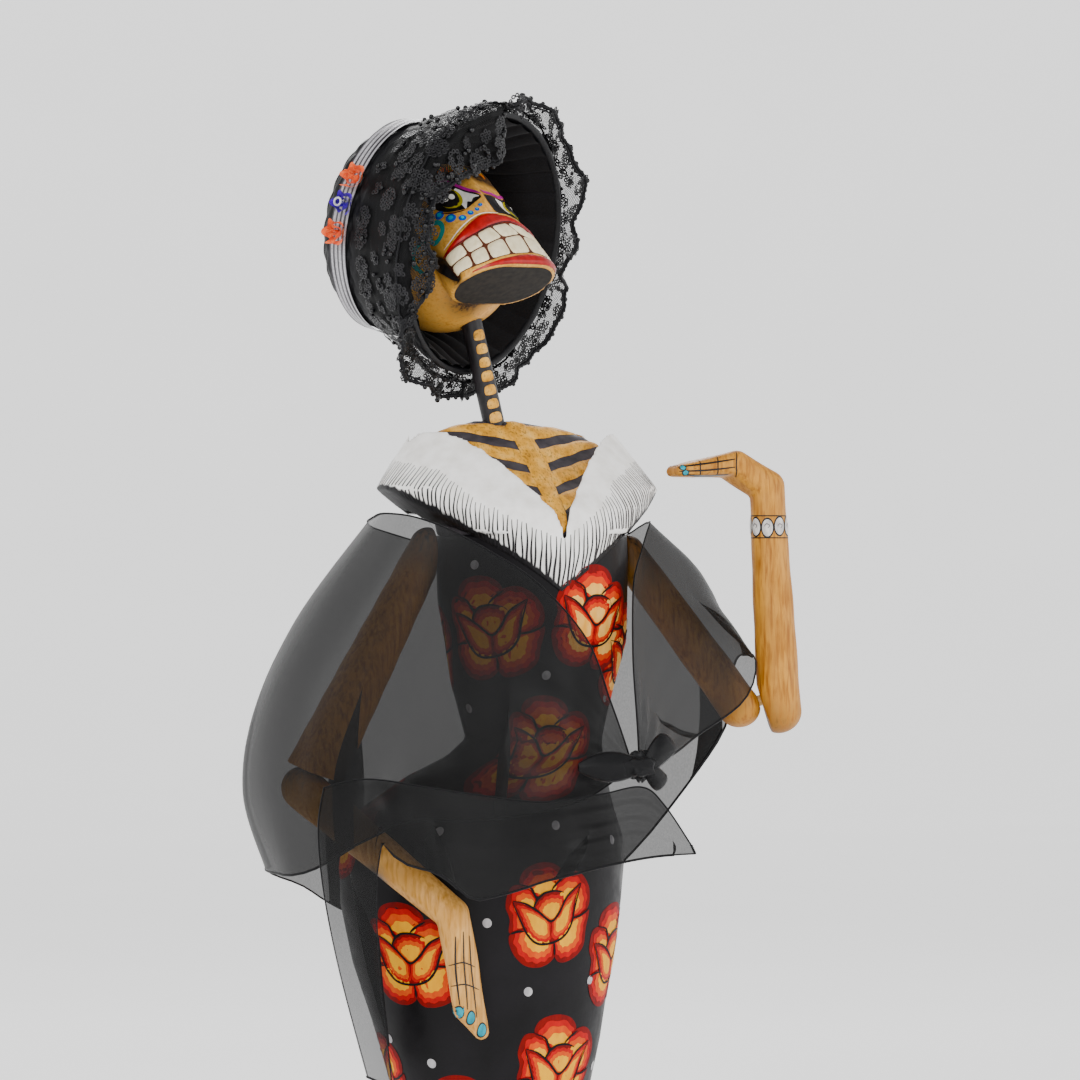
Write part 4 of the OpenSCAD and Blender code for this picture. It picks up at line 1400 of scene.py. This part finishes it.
def band_finish():
    finish = Finish("band_striped_organza", "a9a7ab", 0.35, sheen_weight=0.4, sheen_roughness=0.3)
    threads = finish.noise(0.6, detail=3)
    silver = finish.ramp(threads, (0.3, "8d8b90"), (0.7, "c9c7cb"))
    finish.paint(finish.mix(finish.tint(), silver, "29272b"))
    finish.bump(threads, 0.2, 0.06)
    return finish.done()


def make_hat():
    build_straw().piece("straw_hat_plait", [straw_finish()], "hat", "straw", "straw_hat")
    black_cloth = cloth_finish("lining_black_cloth", "08080a", "17171a")
    lining = build_lining().piece("hat_lining_pleats", [black_cloth], "hat", "lining", "hat_lining")
    points, cloth = lace_surface()
    lace = Build()
    lace.add(grid(points, wrap=True), cloth=cloth)
    sequins, cord, beads = build_trims(points)
    net = net_finish("tulle_net", "040405", 1.15, 0.46)
    tulle = lace.piece("hat_lace_tulle", [net], "hat", "lace", "hat_lace", "lace_cover")
    sequin_black = gloss("sequin_black", "08080a", "141317", 0.4)
    rings = sequins.piece("lace_ring_sequins", [sequin_black], "hat", "lace")
    cord_black = cloth_finish("cord_black", "070708", "1b1b1e", 0.5)
    cords = cord.piece("lace_corded_edge", [cord_black], "hat", "lace")
    bead_black = gloss("bead_black", "060607", "141417", 0.12)
    dots = beads.piece("lace_beads", [bead_black], "hat", "lace")
    band = build_band().piece("hat_band_stripes", [band_finish()], "hat", "band_organza", "hat_band")
    coral, purple, ring = Build(), Build(), Build()
    for turn, depth in ((-113, 45), (-84, 47)):
        coral.add(ribbon_rose(turn, depth, 6.2, 2.6)[0])
    shape, middle, out = ribbon_rose(-98.5, 46, 5.6, 2.4)
    purple.add(shape)
    east = unit(np.cross(out, HAT_AXES[:, 2]))
    angle = full_turn(24)[:, None]
    circle = middle + out * 5.8 + 1.7 * (np.cos(angle) * east + np.sin(angle) * np.cross(east, out))
    ring.add(tube(circle, 0.5, 8, closed=True))
    coral_cloth = cloth_finish("coral_ribbon_satin", "e8623a", "ff9a70", 0.35)
    purple_cloth = cloth_finish("purple_ribbon_satin", "3a1590", "6a3cc8", 0.35)
    coral_piece = coral.piece("coral_rose_ribbon", [coral_cloth], "hat", "coral_ribbon", "coral_roses")
    purple_piece = purple.piece("purple_rose_ribbon", [purple_cloth], "hat", "purple_ribbon", "purple_rose")
    silver = gloss("ring_silver", "9b9ba0", "d8d8dc", 0.2)
    ring_piece = ring.piece("purple_rose_ring", [silver], "hat", "purple_ribbon")
    return {"lining": lining, "tulle": tulle, "trims": [rings, cords, dots], "band": band,
            "coral": coral_piece, "purple": purple_piece, "ring": ring_piece}


# Shawl -----------------------------------------------------------------------

WRAP_TOP = [
    (35, -68, 299), (27, -65, 324), (18, -59, 352), (-1, -51, 376), (-22, -44, 391), (-41, -34, 402),
    (-54, -20, 407), (-59, -4, 408), (-58, 14, 404), (-47, 33, 401), (-26, 46, 396), (0, 50, 391),
    (33, 46, 391), (59, 38, 394), (73, 29, 398), (76, 18, 402), (75, 6, 404), (71, -5, 403),
    (63, -16, 392), (50, -35, 374), (43, -52, 343), (40, -65, 303)]
WRAP_MID = [
    (33, -69, 296), (19, -64, 306), (4, -56, 312), (-18, -45, 322), (-46, -38, 324), (-74, -38, 324),
    (-99, -34, 322), (-111, -4, 322), (-108, 28, 320), (-86, 53, 320), (-54, 70, 315), (-16, 67, 310),
    (28, 54, 310), (67, 40, 322), (96, 32, 338), (103, 19, 359), (100, 5, 373), (96, -13, 372),
    (84, -28, 357), (62, -44, 334), (50, -57, 316), (42, -67, 299)]
WRAP_HEM = [
    (31, -68, 293), (16, -63, 283), (-5, -61, 277), (-32, -57, 274), (-66, -57, 273), (-87, -48, 264),
    (-103, -35, 252), (-108, -2, 250), (-98, 30, 250), (-82, 55, 241), (-56, 67, 229), (-19, 79, 215),
    (22, 69, 210), (62, 52, 229), (92, 38, 262), (117, 16, 307), (116, 3, 337), (114, -20, 344),
    (105, -33, 324), (81, -43, 310), (60, -56, 301), (44, -68, 296)]
TAILS_TOP = [
    (55, -88, 263), (45, -82, 280), (36, -78, 288), (19, -73, 285), (-8, -70, 282), (-39, -70, 286),
    (-64, -71, 290), (-83, -65, 293), (-94, -58, 292), (-101, -49, 289)]
TAILS_MID = [
    (56, -88, 261), (43, -83, 268), (31, -80, 271), (13, -76, 267), (-12, -73, 262), (-41, -75, 260),
    (-64, -75, 262), (-81, -70, 250), (-92, -60, 247), (-100, -46, 244)]
TAILS_HEM = [
    (57, -88, 259), (40, -84, 258), (23, -80, 255), (6, -76, 251), (-14, -73, 246), (-42, -76, 237),
    (-60, -75, 230), (-57, -43, 162), (-62, -32, 158), (-67, -10, 159)]
# How much of the cloth's height is kept at each station, so that its hem follows the top of the forearm
TAILS_KEPT = (1, 1, 1, 1, 1, 0.9, 0.62, 0.35, 1, 1)
KNOT_AT = array([37, -74, 297.0])
# Folds: how many along the cloth, their slant, and their share of the depth
WRAP_FOLDS = [(9, 0.12, 0.7), (4, -0.16, 0.8), (17, 0.06, 0.3)]
TAILS_FOLDS = [(3, 0.2, 0.8), (7, -0.1, 0.4)]
# Reach, rise and half width of the knot's loops
KNOT_LOOPS = [(-29, 0, 6.0), (17, 8, 6.5), (13, -6, 5.0)]


def trimmed(cloth, kept):
    """The same surface with each column cut short, to the share of its length kept at each station."""
    rows, count = cloth.shape[:2]
    place = np.linspace(0, 1, rows)
    share = np.interp(np.linspace(0, 1, count), np.linspace(0, 1, len(kept)), kept)
    short = np.empty_like(cloth)
    for k in range(count):
        for axis in range(3):
            short[:, k, axis] = np.interp(place * share[k], place, cloth[:, k, axis])
    return short


def drape(top, mid, hem, folds, depth, pleats, kept=(1, 1)):
    """A fine cloth grid through three lines of stations, with soft folds and tucks from top to hem."""
    top, mid, hem = array(top), array(mid), array(hem)
    rows = [top, 0.375 * top + 0.75 * mid - 0.125 * hem, mid, 0.375 * hem + 0.75 * mid - 0.125 * top, hem]
    fine = np.stack([smooth_line(row, 12) for row in rows])
    count = fine.shape[1]
    cloth = trimmed(smooth_line(fine.reshape(len(rows), -1), 11).reshape(-1, count, 3), kept)
    down = np.linspace(0, 1, len(cloth))[:, None]
    along = np.linspace(0, 1, count)[None]
    normal = unit(np.cross(np.gradient(cloth, axis=1), np.gradient(cloth, axis=0)))
    quiet = np.sin(np.pi * np.clip(along, 0, 1)) ** 0.35
    shape = 0 * down * along
    for order, (waves, slant, share) in enumerate(folds):
        phase = 2 * math.pi * waves * (along + slant * down * (1 - 0.4 * down)) + 1.7 * order
        ridge = np.sin(phase + 0.8 * np.sin(2.3 * phase / max(waves, 1) + order))
        shape = shape + share * np.sign(ridge) * np.abs(ridge) ** 1.3
    swell = 0.25 + 0.75 * step(0.02, 0.7, down)
    moved = cloth + normal * (depth * shape * swell * quiet)[..., None]
    phase = 2 * math.pi * pleats * (along + 0.03 * down) + 0.9 * np.sin(5 * along + 2 * down)
    tuck = 0.34 / pleats * step(0.08, 0.75, down) * quiet
    places = np.clip(along + tuck * np.sin(phase), 0, 1)
    for k in range(len(moved)):
        columns = [np.interp(places[k], along[0], moved[k, :, axis]) for axis in range(3)]
        moved[k] = np.stack(columns, 1)
    moved = moved + normal * (1.5 * np.cos(phase) * step(0.08, 0.75, down) * quiet)[..., None]
    knot_way = np.linalg.norm(cloth - KNOT_AT, axis=-1)
    gathers = np.sin(down * 2 * math.pi * 5 + 3 * along) * np.exp(-knot_way / 26) * step(3, 14, knot_way)
    moved = moved + normal * (1.7 * gathers)[..., None]
    run = np.concatenate([[0], np.cumsum(np.linalg.norm(np.diff(moved[12], axis=0), axis=1))])
    fall = np.concatenate([[0], np.cumsum(np.linalg.norm(np.diff(moved[:, count // 2], axis=0), axis=1))])
    return moved, np.stack(np.broadcast_arrays(run[None], fall[:, None]), -1)


def make_shawl():
    sheer = organza("shawl_black_organza", "020202", "070708", 0.21)
    dense = cloth_finish("shawl_hem_roll", "060607", "161618", 0.6)
    wrap, wrap_cloth = drape(WRAP_TOP, WRAP_MID, WRAP_HEM, WRAP_FOLDS, 2.8, 9)
    tails, tails_cloth = drape(TAILS_TOP, TAILS_MID, TAILS_HEM, TAILS_FOLDS, 1.8, 4, TAILS_KEPT)
    build = Build()
    build.add(grid(wrap), cloth=wrap_cloth)
    wrap_piece = build.piece("shawl_wrap_cloth", [sheer], "figure", "organza", "shawl_wrap")
    build = Build()
    build.add(grid(tails), cloth=tails_cloth)
    tails_piece = build.piece("shawl_tails_cloth", [sheer], "figure", "organza", "shawl_tails")
    hems = Build()
    for line in (wrap[0], wrap[-1], tails[0], tails[-1], tails[:, 0], tails[:, -1]):
        hems.add(tube(line, 0.55, 6, flat=0.6))
    hem_piece = hems.piece("shawl_rolled_hems", [dense], "figure", "organza")
    knot = build_knot()
    knot_cloth = organza("knot_organza", "030304", "0e0e10", 0.12)
    knot_piece = knot.piece("shawl_knot_folds", [knot_cloth], "figure", "organza", "shawl_knot")
    return {"wrap": wrap_piece, "tails": tails_piece, "hems": hem_piece, "knot": knot_piece}


def build_knot():
    """The knot: a folded wrap of cloth round the crossing, with three small loops."""
    knot = Build()
    up, turn = np.meshgrid(np.linspace(-1.45, 1.45, 26), full_turn(64), indexing="ij")
    size = 6.4 + 0.75 * np.sin(up * 7 + 1.4 * np.sin(turn)) + 0.4 * np.sin(turn * 5 + up * 3)
    shell = np.stack([np.cos(up) * np.cos(turn) * 1.1, np.cos(up) * np.sin(turn) * 0.8, np.sin(up)], -1)
    knot.add(grid(KNOT_AT + shell * size[..., None], wrap=True))
    for reach, rise, wide in KNOT_LOOPS:
        share = np.linspace(0, 1, 24)
        spine = KNOT_AT + np.stack([reach * share, -2 + 3 * share, rise * np.sin(share * 1.9)], 1)
        width = wide * np.sin(np.pi * np.clip(share * 0.86 + 0.08, 0, 1)) ** 0.8
        around = full_turn(16)
        ring = np.stack([0 * around, 0.5 * np.cos(around), np.sin(around)], 1)
        pleat = 1 + 0.14 * np.cos(around * 4)
        rings = spine[:, None] + width[:, None, None] * ring[None] * pleat[None, :, None]
        knot.add(grid(rings, wrap=True))
    return knot


# Assembly --------------------------------------------------------------------

make_camera()
make_lights()
make_floor()
finish_hidden_parts()

dress = build_dress()
collar = build_collar()
dress.piece("dress_shell", [black_dress_paint()], "figure", "dress_paint", "dress_body")
collar.piece("collar_shell", [collar_paint()], "figure", "collar_paint", "collar")
brush_black = brushed_paint("brush_black", "0c0b0d", "221f22", size=2)
pleat_lines(collar).piece("collar_pleat_lines", [brush_black], "figure", "collar_paint")
paint_dress(dress, collar).piece("dress_roses", rose_finishes(), "figure", "dress_paint")
chest = build_chest()
chest.piece("chest_shell", [chest_grey()], "figure", "bone_paint", "chest")
gold = bone_gold()
paint_chest(chest).piece("chest_ribs", [gold], "figure", "bone_paint")
build_neck_bones().piece("neck_vertebrae", [gold], "figure", "bone_paint")
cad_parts["neck_rod"].data.materials[0] = brushed_paint("neck_black", "0d0c0d", "242123", size=2.5)

skull = build_skull()
skull_wood = carved_wood("skull_tan", "d6a55c", "b07c3c", "22130a", (1, 1, 1))
skull.piece("skull_carved", [skull_wood], "head", "skull_paint", "skull")
paint_skull(skull).piece("skull_paint_work", skull_finishes(), "head", "skull_paint")
make_arms()
hat = make_hat()
shawl = make_shawl()
